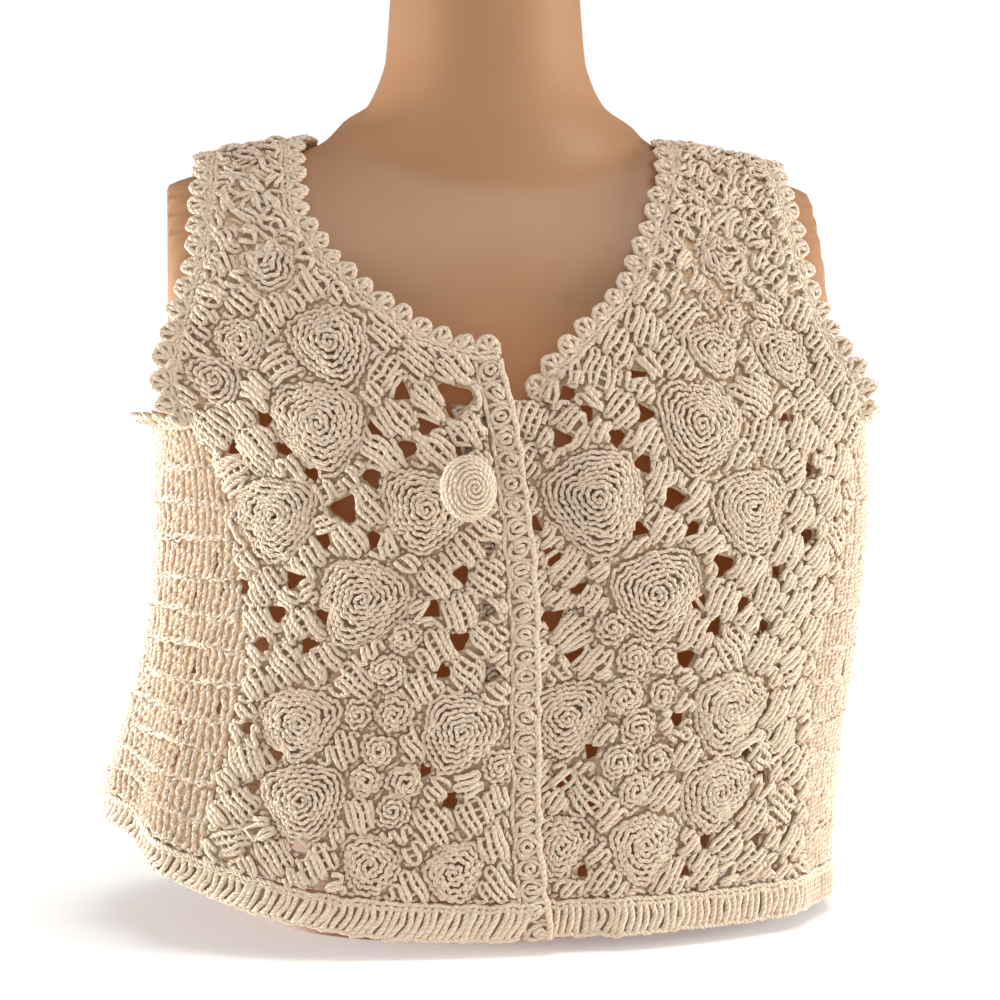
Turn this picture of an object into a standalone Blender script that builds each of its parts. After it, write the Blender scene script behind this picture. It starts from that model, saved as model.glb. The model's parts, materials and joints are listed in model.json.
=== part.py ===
"""Crochet top on a limbless dress form.

A sleeveless, cropped crochet top with an open front and one large domed button.
It hangs on a smooth torso form with a neck and two flat-cut shoulder stumps.

Metres, +Z up.  The front faces -Y, the wearer's left is +X and the form's flat
base stands on z = 0.  Inside the functions lengths are millimetres.

The cloth is one loft, cut into pieces.  CLOTH_ROWS names its cross-sections from
hem to shoulder seam, each a rounded rectangle of its own half width, front depth
and back depth.  A place on the cloth is (across, up): `across` is the length along
a row from the centre front or centre back, and `up` is the length from the hem.
"""
import math

import bmesh
import bpy
import numpy as np

MM = 0.001

# ---------------------------------------------------------------- driving sizes, mm
WALL = 4.6                 # thickness of the crochet cloth
SEAM = 0.3                 # gap between pieces that meet at a seam
SHOULDER_SEAM = 0.9        # gap over the shoulders, where the cloth turns sharply
HEM_SEAM = 0.9             # gap over the hem band, whose corners differ from the panels'
HEM_DEPTH = 21             # hem band
BAND_WIDTH = 16            # front bands
NECK_EDGE = 12             # neck scallops, from seam to tip
ARM_EDGE = 13              # armhole scallops, from seam to tip
SCALLOP = 13.5             # length of one scallop
LAP_STEP = 5.4             # how far the left front lies behind the right one
STUMP_AT = 184             # the shoulder stumps are cut flat here
LAP_FLAT = 16              # width that lies fully behind, from the opening's edge
LAP_BLEND = 26             # width over which it comes level again
LEAN = math.radians(80)    # how far the armhole scallops stand out under the arm
LEAN_FROM = 276            # height where they begin to lie flatter
LEAN_OVER = 80             # height over which they do so
BUTTON_AT = (-44, 238)     # across, up
BUTTON_WIDTH = 31
BUTTON_DEPTH = 21
STEM_LENGTH = 8
STEM_RADIUS = 2.2
FRAME_SHIFT = (1.0, 9.1)   # from the loft's axis to the middle of the whole box
SQUARE = 2.4               # 2 is an ellipse, more is squarer
BODY_STEP = 24             # spacing of the levels below the underarm
CHEST_STEP = 14            # and above it
EDGE_STEP = 9              # and where the cloth turns over the shoulders
FOLD_FROM = 433            # level where that turn begins

# Cross-sections from hem to shoulder seam.  The drop is how much lower the row is at
# its side than at its middle, and the rise how much the wearer's right side rides up.
# height, drop, rise, shift, half width, front, back
CLOTH_ROWS = (
    (8, 0, 48, -17, 205, 119, 124),    # hem
    (53, 0, 34, -13, 203, 119, 120),   # hip
    (113, 0, 16, -3, 198, 118, 114),   # waist
    (178, 0, 4, 8, 197, 117, 107),     # ribs
    (238, 0, 0, 12, 198, 115, 102),    # bust
    (285, 2, 0, 8, 202, 110, 98),      # underarm
    (331, 8, 0, 0, 212, 96, 91),       # chest
    (373, 15, 0, 0, 214, 74, 79),      # yoke
    (411, 24, 0, 0, 213, 48, 54),      # strap
    (438, 30, 0, 0, 212, 22, 25),      # crest
    (449, 32, 0, 0, 212, 0, 0),        # shoulder seam
)
# The torso under it, in the same columns.
FORM_ROWS = (
    (0, 0, 0, 0, 128, 84, 86),
    (53, 0, 0, 0, 124, 80, 84),
    (113, 0, 0, 0, 128, 84, 86),
    (178, 0, 0, 0, 144, 96, 88),
    (238, 0, 0, 0, 160, 102, 90),
    (285, 2, 0, 0, 178, 96, 89),
    (331, 8, 0, 0, 206, 83, 84),
    (373, 15, 0, 0, 208, 67, 72),
    (408, 24, 0, 0, 207, 42, 48),
    (433, 30, 0, 0, 206, 17, 20),
    (442, 32, 0, 0, 206, 0, 0),
)
# The neck: height, half width, half depth, middle behind the axis, edge.
# An edge of 0.5 is an ellipse, and more thins out towards the shoulders.
NECK_ROWS = (
    (393, 102, 38, -2, 1.0),
    (423, 99, 42, -2, 1.1),
    (435, 93, 46, 1, 1.1),
    (448, 81, 53, 7, 0.8),
    (462, 65, 56, 13, 0.6),
    (481, 57, 57, 16, 0.5),
    (533, 53, 57, 21, 0.5),
)
NECK_LEAN = 3.5             # the neck stands this far towards the wearer's right
NECK_TOP = 533
NECK_BLEND = 9             # softness of the join between neck and torso

# Where pieces end.  Each table is up, across; the sides differ as the top hangs.
OPENING = ((0, 30), (60, 17), (145, 2), (233, -12), (304, -15))
LAP = 32                             # how far the left front reaches under the right one
UNDERARM = 272
SIDE_SEAM = {
    -1: ((0, 160), (140, 152), (245, 178), (UNDERARM, 192)),
    1: ((0, 186), (140, 168), (245, 190), (UNDERARM, 199)),
}
ARMHOLE = {
    -1: ((UNDERARM, 192), (285, 190), (300, 186), (325, 177), (363, 166), (413, 160), (493, 157)),
    1: ((UNDERARM, 199), (285, 193), (300, 184), (325, 172), (363, 161), (413, 156), (493, 155)),
}
NECKLINE = {
    -1: ((304, 32), (309, 52), (322, 68), (338, 87), (358, 106), (385, 120), (420, 122), (493, 119)),
    1: ((282, 2), (293, 8), (300, 20), (309, 32), (328, 54), (346, 68), (370, 80), (412, 98), (493, 111)),
}
NECK_BACK = ((411, 66), (429, 96), (448, 113), (463, 119))
BACK_NECK_DIP = 12


# ---------------------------------------------------------------- the loft
def spline(column, place, turn=1.0):
    """A smooth line through evenly spaced values; past the last it mirrors them."""
    v = np.asarray(column, float)
    v = np.concatenate([[2 * v[0] - v[1]], v, [turn * v[-2]]])
    x = np.clip(place, 0, 1) * (len(column) - 1)
    i = np.minimum(x.astype(int), len(column) - 2)
    f = x - i
    a, b, c, d = v[i], v[i + 1], v[i + 2], v[i + 3]
    return 0.5 * (2 * b + (c - a) * f + (2 * a - 5 * b + 4 * c - d) * f**2
                  + (3 * b - a - 3 * c + d) * f**3)


def section(rows, place):
    """The row's values at a place from 0 (hem) to 1 (shoulder seam)."""
    place = np.asarray(place, float)
    height, drop, rise, shift, width, front, back = zip(*rows)
    even = [spline(c, place) for c in (height, drop, rise, shift, width)]
    return even + [spline(front, place, -1), spline(back, place, -1)]


def loft_point(rows, place, angle, side, is_back):
    """A point of the loft; angle 0 is the centre front or back, pi/2 the side."""
    height, drop, rise, shift, width, front, back = section(rows, place)
    across = np.abs(np.sin(angle)) ** (2 / SQUARE)
    along = np.abs(np.cos(angle)) ** (2 / SQUARE)
    ride = rise * across**2.2 if side < 0 else 0
    x = shift + side * width * across
    y = back * along if is_back else -front * along
    z = height - drop * across**1.2 + ride
    return np.stack(np.broadcast_arrays(x, y, z), -1)


class Cloth:
    """The cloth's middle surface, looked up by lengths along it."""

    def __init__(self, step=3.0, shares=81):
        fine = np.linspace(0, 1, 400)
        column = loft_point(CLOTH_ROWS, fine, 0.8, 1, False)
        up = np.concatenate([[0], np.cumsum(np.linalg.norm(np.diff(column, axis=0), axis=1))])
        self.top = up[-1]
        self.ups = np.linspace(0, self.top, int(self.top / step))
        places = np.interp(self.ups, up, fine)
        self.shares = np.linspace(0, 1, shares)
        self.grid = {}
        self.length = {}
        angles = np.linspace(0, math.pi / 2, 240)
        for side in (-1, 1):
            for is_back in (False, True):
                raw = loft_point(CLOTH_ROWS, places[:, None], angles[None, :], side, is_back)
                gaps = np.linalg.norm(np.diff(raw, axis=1), axis=2)
                run = np.concatenate([np.zeros((len(places), 1)), np.cumsum(gaps, 1)], 1)
                rows = []
                for points, lengths in zip(raw, run):
                    wanted = self.shares * lengths[-1]
                    rows.append(np.stack([np.interp(wanted, lengths, points[:, i]) for i in range(3)], -1))
                self.grid[side, is_back] = np.array(rows)
                self.length[side, is_back] = run[:, -1]

    def quarter(self, side, is_back, up):
        return np.interp(up, self.ups, self.length[side, is_back])

    def look_up(self, side, is_back, share, up):
        """Bilinear look-up of one quarter of the cloth."""
        grid = self.grid[side, is_back]
        r = np.clip(up / self.top, 0, 1) * (len(self.ups) - 1)
        c = np.clip(share, 0, 1) * (len(self.shares) - 1)
        r0 = np.minimum(r.astype(int), len(self.ups) - 2)
        c0 = np.minimum(c.astype(int), len(self.shares) - 2)
        fr = (r - r0)[..., None]
        fc = (c - c0)[..., None]
        low = grid[r0, c0] * (1 - fc) + grid[r0, c0 + 1] * fc
        high = grid[r0 + 1, c0] * (1 - fc) + grid[r0 + 1, c0 + 1] * fc
        return low * (1 - fr) + high * fr

    def around(self, across, up):
        """Positive across runs over the wearer's left side to the back, negative over the right."""
        across, up = np.broadcast_arrays(np.asarray(across, float), np.asarray(up, float))
        right, left = (self.quarter(s, False, up) + self.quarter(s, True, up) for s in (-1, 1))
        across = np.where(across > left, across - left - right, across)
        across = np.where(across < -right, across + left + right, across)
        out = np.zeros(across.shape + (3,))
        for side in (-1, 1):
            here = (across < 0) if side < 0 else (across >= 0)
            run = np.abs(across)
            front = self.quarter(side, False, up)
            back = self.quarter(side, True, up)
            on_front = here & (run <= front)
            on_back = here & (run > front)
            out[on_front] = self.look_up(side, False, run / front, up)[on_front]
            out[on_back] = self.look_up(side, True, 1 - (run - front) / back, up)[on_back]
        return out

    def back(self, across, up):
        """The back, positive across towards the wearer's right."""
        across, up = np.broadcast_arrays(np.asarray(across, float), np.asarray(up, float))
        out = np.zeros(across.shape + (3,))
        for side in (-1, 1):
            here = (across > 0) if side < 0 else (across <= 0)
            share = np.abs(across) / self.quarter(side, True, up)
            out[here] = self.look_up(side, True, share, up)[here]
        return out

    def frame(self, place, across, up):
        """Point, outward normal and unit steps across and up."""
        point = place(across, up)
        d_across = place(across + 1.0, up) - place(across - 1.0, up)
        d_up = place(across, np.minimum(up + 1.0, self.top)) - place(across, np.maximum(up - 1.0, 0))
        normal = np.cross(d_across, d_up)
        unit = [d / np.linalg.norm(d, axis=-1, keepdims=True) for d in (normal, d_across, d_up)]
        return point, unit[0], unit[1], unit[2]


def table(pairs, up):
    """Reads an (up, across) table."""
    ups, acrosses = zip(*pairs)
    return np.interp(up, ups, acrosses)


def ease(x):
    x = np.clip(x, 0, 1)
    return x * x * (3 - 2 * x)


# ---------------------------------------------------------------- solids
def add_object(name, mesh, material):
    mesh.materials.append(material)
    thing = bpy.data.objects.new(name, mesh)
    bpy.data.collections["crochet_top_on_dress_form"].objects.link(thing)
    return thing


def finish_material(name, colour, roughness):
    material = bpy.data.materials.new(name)
    material.use_nodes = True
    shader = material.node_tree.nodes["Principled BSDF"]
    shader.inputs["Base Color"].default_value = (*colour, 1)
    shader.inputs["Roughness"].default_value = roughness
    return material


def wall(name, points, normals, cells, material, half=WALL / 2):
    """A closed wall: the cells moved out and in along the normals, with rims between."""
    count = len(points)
    vertices = np.concatenate([points + normals * half, points - normals * half])
    vertices[:, :2] += FRAME_SHIFT
    directed = {(c[i], c[(i + 1) % len(c)]) for c in cells for i in range(len(c))}
    rims = [(b, a, a + count, b + count) for a, b in directed if (b, a) not in directed]
    inner = [tuple(i + count for i in reversed(c)) for c in cells]
    mesh = bpy.data.meshes.new(name)
    mesh.from_pydata((vertices * MM).tolist(), [], list(cells) + inner + sorted(rims))
    work = bmesh.new()
    work.from_mesh(mesh)
    loose = [v for v in work.verts if not v.link_faces]
    bmesh.ops.delete(work, geom=loose, context="VERTS")
    bmesh.ops.triangulate(work, faces=work.faces)
    work.to_mesh(mesh)
    work.free()
    return add_object(name, mesh, material)


def grid_cells(rows, columns, keep=None):
    cells = []
    for r in range(rows - 1):
        for c in range(columns - 1):
            if keep is None or keep(r, c):
                a = r * columns + c
                cells.append((a, a + 1, a + columns + 1, a + columns))
    return cells


def panel(name, cloth, place, ups, left, right, columns, material, sink=None):
    """A piece between two side edges, each given as across for every level in ups."""
    share = np.linspace(0, 1, columns)
    across = left[:, None] * (1 - share) + right[:, None] * share
    up = np.broadcast_to(ups[:, None], across.shape)
    point, normal, _, _ = cloth.frame(place, across, up)
    if sink is not None:
        point = point - normal * sink(across, up)[..., None]
    flat = point.reshape(-1, 3)
    wall(name, flat, normal.reshape(-1, 3), grid_cells(len(ups), columns), material)


def lap_sink(across, up):
    """The left front steps back behind the right one near the opening."""
    return LAP_STEP * (1 - ease((across - table(OPENING, up) - LAP_FLAT) / LAP_BLEND))


# ---------------------------------------------------------------- pieces of the top
def levels(low, high, step):
    return np.linspace(low, high, max(2, int(round((high - low) / step)) + 1))


def front_levels(cloth, side):
    """Levels of a front from above the hem band to the shoulder seam."""
    corner = NECKLINE[side][0][0]
    top = cloth.top - SHOULDER_SEAM / 2
    parts = [levels(HEM_DEPTH + HEM_SEAM, UNDERARM, BODY_STEP), levels(UNDERARM, corner, EDGE_STEP),
             [corner + 1], levels(corner + 1, FOLD_FROM, CHEST_STEP), levels(FOLD_FROM, top, EDGE_STEP)]
    return np.unique(np.round(np.concatenate(parts), 3))


def back_levels(cloth):
    neck = NECK_BACK[0][0]
    top = cloth.top - SHOULDER_SEAM / 2
    parts = [levels(HEM_DEPTH + HEM_SEAM, UNDERARM, BODY_STEP), levels(UNDERARM, neck, CHEST_STEP),
             levels(neck, top, EDGE_STEP)]
    return np.unique(np.round(np.concatenate(parts), 3))


def outer_edge(side, ups):
    """The outer edge of a front or of the back: side seam, then armhole."""
    return np.where(ups <= UNDERARM, table(SIDE_SEAM[side], ups), table(ARMHOLE[side], ups))


def inner_edge(side, ups):
    """The inner edge of a front: along its band, then the neckline."""
    if side < 0:
        band = table(OPENING, ups) - BAND_WIDTH - SEAM
    else:
        band = table(OPENING, ups) - LAP + BAND_WIDTH + SEAM
    return np.where(ups <= NECKLINE[side][0][0], band, side * table(NECKLINE[side], ups))


def make_fronts(cloth, material):
    ups = front_levels(cloth, -1)
    edges = (-outer_edge(-1, ups), inner_edge(-1, ups))
    panel("front_right", cloth, cloth.around, ups, *edges, 11, material)
    ups = front_levels(cloth, 1)
    edges = (inner_edge(1, ups), outer_edge(1, ups))
    panel("front_left", cloth, cloth.around, ups, *edges, 12, material, lap_sink)


def make_bands(cloth, material):
    ups = np.concatenate([[0], front_levels(cloth, -1)])
    ups = ups[ups <= NECKLINE[-1][0][0]]
    edge = table(OPENING, ups)
    panel("front_band_right", cloth, cloth.around, ups, edge - BAND_WIDTH, edge, 3, material)
    ups = np.concatenate([[0], front_levels(cloth, 1)])
    ups = ups[ups <= NECKLINE[1][0][0]]
    start = table(OPENING, ups) - LAP
    panel("front_band_left", cloth, cloth.around, ups, start, start + BAND_WIDTH, 3, material, lap_sink)


def make_sides(cloth, material):
    ups = levels(HEM_DEPTH + HEM_SEAM, UNDERARM, BODY_STEP)
    for name, side in (("side_right", -1), ("side_left", 1)):
        seam = table(SIDE_SEAM[side], ups) + SEAM
        whole = cloth.quarter(side, False, ups) + cloth.quarter(side, True, ups)
        ends = (seam, whole - seam) if side > 0 else (seam - whole, -seam)
        panel(name, cloth, cloth.around, ups, *ends, 9, material)


def make_back(cloth, material):
    """One piece: full width up to the neck, then the two straps."""
    neck = NECK_BACK[0][0]
    ups = back_levels(cloth)
    hole = table(NECK_BACK, ups)
    share = np.linspace(0, 1, 6)
    left = -outer_edge(1, ups)[:, None] * (1 - share) - hole[:, None] * share
    right = outer_edge(-1, ups)[:, None] * share + hole[:, None] * (1 - share)
    middle = hole[:, None] * np.linspace(-1, 1, 7)[None, 1:-1]
    across = np.concatenate([left, middle, right], 1)
    up = np.repeat(ups[:, None], across.shape[1], 1)
    split = int(np.argmin(np.abs(ups - neck)))
    dip = BACK_NECK_DIP * (1 - (middle[split] / hole[split]) ** 2)
    up[split, 6:11] -= dip
    up[split - 1, 6:11] -= dip / 2
    point, normal, _, _ = cloth.frame(cloth.back, across, up)
    cells = grid_cells(len(ups), across.shape[1], lambda r, c: r < split or not 5 <= c < 11)
    wall("back", point.reshape(-1, 3), normal.reshape(-1, 3), cells, material)


def make_hem(cloth, material):
    """One strip round the lower edge, from the right front's band to the left one's."""
    up = np.array([0.0, HEM_DEPTH])
    strips = []
    for side in (-1, 1):
        whole = cloth.quarter(side, False, up) + cloth.quarter(side, True, up)
        share = np.linspace(0, 1, 34)
        start = np.array([inner_edge(side, np.array([u]))[0] for u in up])
        across = start[:, None] * (1 - share) + side * whole[:, None] * share
        ups = np.repeat(up[:, None], len(share), 1)
        point, normal, _, _ = cloth.frame(cloth.around, across, ups)
        if side > 0:
            point = point - normal * lap_sink(across, ups)[..., None]
        strips.append((point, normal))
    point, normal = (np.concatenate([strips[1][i], strips[0][i][:, -2::-1]], 1) for i in range(2))
    cells = grid_cells(2, point.shape[1])
    wall("hem_band", point.reshape(-1, 3), normal.reshape(-1, 3), cells, material)


def edge_path(cloth, place, ups, acrosses, sink=None):
    """Points and normals along a cut edge."""
    point, normal, _, _ = cloth.frame(place, acrosses, ups)
    if sink is not None:
        point = point - normal * sink(acrosses, ups)[..., None]
    return point, normal


def outward_steps(point, normal, closed):
    """In-surface directions across an edge, towards the middle of the opening, mitred at corners."""
    ahead = np.roll(point, -1, 0) - point
    ahead /= np.linalg.norm(ahead, axis=1, keepdims=True)
    before = np.roll(ahead, 1, 0)
    if not closed:
        before[0] = ahead[0]
        ahead[-1] = before[-1]
    along = ahead + before
    along /= np.linalg.norm(along, axis=1, keepdims=True)
    step = np.cross(along, normal)
    step /= np.linalg.norm(step, axis=1, keepdims=True)
    if np.sum(step * (point.mean(0) - point)) < 0:
        step = -step
    bend = np.sqrt(np.clip((1 + np.sum(ahead * before, 1)) / 2, 0.25, 1))
    return step, 1 / bend


def scallops(name, paths, width, material, flare=None, closed=False):
    """A strip along an edge whose outer side is a row of scallops."""
    point, normal = (np.concatenate([p[i] for p in paths]) for i in range(2))
    step, mitre = outward_steps(point, normal, closed)
    if closed:
        point, normal, step, mitre = (np.concatenate([a, a[:1]]) for a in (point, normal, step, mitre))
    run = np.concatenate([[0], np.cumsum(np.linalg.norm(np.diff(point, axis=0), axis=1))])
    lobes = int(round(run[-1] / SCALLOP))
    even = np.linspace(0, run[-1], lobes * 3 + 1)
    apart = np.min(np.abs(even[:, None] - run[None, :]), axis=1)
    at = np.sort(np.concatenate([even[apart > 1.8], run]))
    at = at[np.concatenate([[True], np.diff(at) > 0.01])]
    point, normal, step = (
        np.stack([np.interp(at, run, a[:, i]) for i in range(3)], -1) for a in (point, normal, step)
    )
    mitre = np.interp(at, run, mitre)[:, None]
    lean = flare(point) if flare else np.zeros(len(at))
    out = step * np.cos(lean)[:, None] + normal * np.sin(lean)[:, None]
    face = normal * np.cos(lean)[:, None] - step * np.sin(lean)[:, None]
    reach = width * (0.62 + 0.38 * np.abs(np.sin(math.pi * at / run[-1] * lobes)) ** 0.6)
    base = point + step * SEAM * mitre
    tip = base + out * (reach - SEAM)[:, None]
    grid = np.stack([base, tip])
    faces = np.stack([normal, face])
    ahead = np.gradient(point, axis=0)
    if np.sum(np.cross(ahead, step) * normal) < 0:
        grid = grid[:, ::-1]
        faces = faces[:, ::-1]
    columns = grid.shape[1]
    if closed:
        grid = grid[:, :-1]
        faces = faces[:, :-1]
        columns -= 1
        cells = [(c, (c + 1) % columns, columns + (c + 1) % columns, columns + c) for c in range(columns)]
    else:
        cells = grid_cells(2, columns)
    wall(name, grid.reshape(-1, 3), faces.reshape(-1, 3), cells, material)


def make_neck_edging(cloth, material):
    """Scallops from the right front's corner over both shoulders to the left front's corner."""
    corner = NECKLINE[-1][0][0]
    ups = front_levels(cloth, -1)
    ups = ups[ups >= corner]
    right_up = np.concatenate([[corner], ups])
    right_across = np.concatenate([[table(OPENING, corner)], inner_edge(-1, ups)])
    right = edge_path(cloth, cloth.around, right_up, right_across)
    low = NECK_BACK[0][0]
    down = levels(low, cloth.top - SHOULDER_SEAM / 2, EDGE_STEP)
    half = table(NECK_BACK, down)
    middle = np.linspace(half[0], -half[0], 7)[1:-1]
    dipped = low - BACK_NECK_DIP * (1 - (middle / half[0]) ** 2)
    back_up = np.concatenate([down[::-1], dipped, down])
    back_across = np.concatenate([half[::-1], middle, -half])
    back = edge_path(cloth, cloth.back, back_up, back_across)
    ups = front_levels(cloth, 1)
    ups = ups[ups >= NECKLINE[1][0][0]][::-1]
    left = edge_path(cloth, cloth.around, ups, inner_edge(1, ups), lap_sink)
    scallops("neck_edging", (right, back, left), NECK_EDGE, material)


def underarm_lean(point):
    """The armhole scallops lean outwards more and more towards the underarm."""
    return LEAN * (1 - ease((point[:, 2] - LEAN_FROM) / LEAN_OVER))


def make_armhole_edgings(cloth, material):
    """Closed rings of scallops that stand out under the arm."""
    for name, side in (("armhole_edging_right", -1), ("armhole_edging_left", 1)):
        ups = front_levels(cloth, side)
        ups = ups[ups >= UNDERARM][::-1]
        front = edge_path(cloth, cloth.around, ups, side * outer_edge(side, ups))
        start = SIDE_SEAM[side][-1][1]
        whole = cloth.quarter(side, False, UNDERARM) + cloth.quarter(side, True, UNDERARM)
        run = side * np.linspace(start, whole - start, 10)[1:-1]
        under = edge_path(cloth, cloth.around, np.full(8, float(UNDERARM)), run)
        rear = back_levels(cloth)
        rear = rear[rear >= UNDERARM]
        back = edge_path(cloth, cloth.back, rear, -side * outer_edge(side, rear))
        scallops(name, (front, under, back), ARM_EDGE, material, underarm_lean, closed=True)


def make_button(cloth, material):
    """A flattened ball on a short stem, hanging on the right front."""
    across, up = BUTTON_AT
    point, normal, _, _ = cloth.frame(cloth.around, np.array(float(across)), np.array(float(up)))
    axis = normal / np.linalg.norm(normal)
    turn = math.atan2(axis[0], -axis[1])
    back_face = point + axis * (WALL / 2 + STEM_LENGTH)
    stem_middle = point + axis * (WALL / 2 + STEM_LENGTH / 2)
    for name, middle, radius, depth in (
        ("button", back_face + axis * BUTTON_DEPTH / 2, BUTTON_WIDTH / 2, BUTTON_DEPTH / 2),
        ("button_shank", stem_middle, STEM_RADIUS, STEM_LENGTH / 2 - SEAM),
    ):
        mesh = bpy.data.meshes.new(name)
        work = bmesh.new()
        if name == "button":
            bmesh.ops.create_uvsphere(work, u_segments=20, v_segments=12, radius=1.0)
        else:
            bmesh.ops.create_cone(work, cap_ends=True, segments=12, radius1=1, radius2=1, depth=2)
        bmesh.ops.scale(work, vec=(radius * MM, radius * MM, depth * MM), verts=work.verts)
        work.to_mesh(mesh)
        work.free()
        thing = add_object(name, mesh, material)
        thing.location = (middle + (*FRAME_SHIFT, 0)) * MM
        thing.rotation_euler = (math.pi / 2, 0, turn)


# ---------------------------------------------------------------- the dress form
def torso_depth(x, z, is_back):
    """Half depth of the torso at x and z, negative outside it."""
    low = np.zeros(np.shape(x))
    high = np.ones(np.shape(x))
    for _ in range(30):
        place = (low + high) / 2
        height, drop, _, _, width, _, _ = section(FORM_ROWS, place)
        below = height - drop * np.minimum(np.abs(x) / width, 1.2) ** 1.2 < z
        low = np.where(below, place, low)
        high = np.where(below, high, place)
    height, drop, _, _, width, front, back = section(FORM_ROWS, place)
    inside = 1 - (np.abs(x) / width) ** SQUARE
    depth = (back if is_back else front) * np.sign(inside) * np.abs(inside) ** (1 / SQUARE)
    over = z - (FORM_ROWS[-1][0] - FORM_ROWS[-1][1] * np.minimum(np.abs(x) / width, 1.2) ** 1.2)
    return np.where(over > 0, -np.sqrt(np.maximum(over, 0)) * 6, depth)


def neck_depth(x, z, is_back):
    """Half depth of the neck, measured from the torso's axis."""
    heights, *columns = zip(*NECK_ROWS)
    width, depth, middle, edge = (np.interp(z, heights, c) for c in columns)
    inside = 1 - ((x + NECK_LEAN * ease((z - 430) / 32)) / width) ** 2
    half = depth * np.sign(inside) * np.abs(inside) ** edge
    half = half + (middle if is_back else -middle)
    return np.where(z < heights[0], -60.0, half)


def form_depth(x, z, is_back):
    """The deeper of torso and neck, with a soft join."""
    a = torso_depth(x, z, is_back)
    b = neck_depth(x, z, is_back)
    gap = a - b
    return 0.5 * (a + b + np.sqrt(gap**2 + NECK_BLEND**2)) - NECK_BLEND / 4 * np.exp(-((gap / 25) ** 2))


def form_slices(heights, turns):
    """Rings of points where each ray from the axis leaves the form."""
    angle = np.linspace(0, 2 * math.pi, turns, endpoint=False)
    z = heights[:, None] * np.ones(turns)
    direction = np.stack([np.sin(angle), -np.cos(angle)], -1)
    low = np.zeros(z.shape)
    high = np.full(z.shape, 240.0)
    for _ in range(26):
        reach = (low + high) / 2
        x = direction[:, 0] * reach
        y = direction[:, 1] * reach
        depth = np.where(y > 0, form_depth(x, z, True), form_depth(x, z, False))
        inside = np.abs(y) < depth
        low = np.where(inside, reach, low)
        high = np.where(inside, high, reach)
    return np.stack([direction[:, 0] * low, direction[:, 1] * low, z], -1)


def make_form(material):
    """Rings of the torso and neck, closed by flat ends, with the shoulders cut flat."""
    heights = np.concatenate([
        np.linspace(0, 273, 9), np.linspace(293, 393, 8), np.linspace(401, 417, 5),
        np.linspace(420, 441, 8), np.linspace(447, 471, 4), np.linspace(488, NECK_TOP, 3),
    ])
    turns = 36
    rings = form_slices(heights, turns)
    vertices = rings.reshape(-1, 3).copy()
    vertices[:, :2] += FRAME_SHIFT
    count = len(heights)
    cells = []
    for r in range(count - 1):
        for c in range(turns):
            a = r * turns + c
            b = r * turns + (c + 1) % turns
            cells.append((a, b, b + turns, a + turns))
    cells.append(tuple(reversed(range(turns))))
    cells.append(tuple(range((count - 1) * turns, count * turns)))
    mesh = bpy.data.meshes.new("form_torso")
    mesh.from_pydata((vertices * MM).tolist(), [], cells)
    work = bmesh.new()
    work.from_mesh(mesh)
    for side in (-1, 1):
        everything = work.verts[:] + work.edges[:] + work.faces[:]
        at = ((side * STUMP_AT + FRAME_SHIFT[0]) * MM, 0, 0)
        cut = bmesh.ops.bisect_plane(work, geom=everything, plane_co=at, plane_no=(side, 0, 0),
                                     clear_outer=True, dist=1e-7)
        rim = [g for g in cut["geom_cut"] if isinstance(g, bmesh.types.BMEdge)]
        bmesh.ops.edgeloop_fill(work, edges=rim)
    bmesh.ops.recalc_face_normals(work, faces=work.faces)
    work.to_mesh(mesh)
    work.free()
    add_object("form_torso", mesh, material)
    mesh.shade_smooth()
    mesh.set_sharp_from_angle(angle=math.radians(40))


def main():
    for thing in list(bpy.data.objects):
        bpy.data.objects.remove(thing, do_unlink=True)
    parts = bpy.data.collections.new("crochet_top_on_dress_form")
    bpy.context.scene.collection.children.link(parts)
    yarn = finish_material("ecru_cotton_yarn", (0.74, 0.62, 0.47), 0.85)
    skin = finish_material("matt_tan_plastic", (0.52, 0.27, 0.14), 0.5)
    cloth = Cloth()
    make_fronts(cloth, yarn)
    make_bands(cloth, yarn)
    make_sides(cloth, yarn)
    make_back(cloth, yarn)
    make_hem(cloth, yarn)
    make_neck_edging(cloth, yarn)
    make_armhole_edgings(cloth, yarn)
    make_button(cloth, yarn)
    make_form(skin)


main()
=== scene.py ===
import json
import math

import bpy
import mathutils
import numpy as np
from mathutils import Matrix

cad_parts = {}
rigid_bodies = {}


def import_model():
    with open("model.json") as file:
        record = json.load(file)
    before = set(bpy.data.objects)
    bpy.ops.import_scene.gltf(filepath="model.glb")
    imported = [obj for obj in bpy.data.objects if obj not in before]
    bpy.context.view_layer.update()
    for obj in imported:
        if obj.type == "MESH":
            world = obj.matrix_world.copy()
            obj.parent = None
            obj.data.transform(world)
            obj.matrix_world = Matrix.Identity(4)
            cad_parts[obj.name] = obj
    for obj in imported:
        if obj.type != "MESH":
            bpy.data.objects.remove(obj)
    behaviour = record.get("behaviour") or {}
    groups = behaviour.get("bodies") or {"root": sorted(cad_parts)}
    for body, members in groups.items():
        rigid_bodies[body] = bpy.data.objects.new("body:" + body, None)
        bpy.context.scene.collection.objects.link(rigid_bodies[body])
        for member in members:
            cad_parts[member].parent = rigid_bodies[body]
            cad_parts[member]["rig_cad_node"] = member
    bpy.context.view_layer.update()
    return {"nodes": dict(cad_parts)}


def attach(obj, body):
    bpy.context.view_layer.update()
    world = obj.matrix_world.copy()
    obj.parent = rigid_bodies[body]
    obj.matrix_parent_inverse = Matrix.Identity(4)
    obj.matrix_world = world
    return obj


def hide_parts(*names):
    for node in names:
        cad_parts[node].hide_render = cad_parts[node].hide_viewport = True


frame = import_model()

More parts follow.
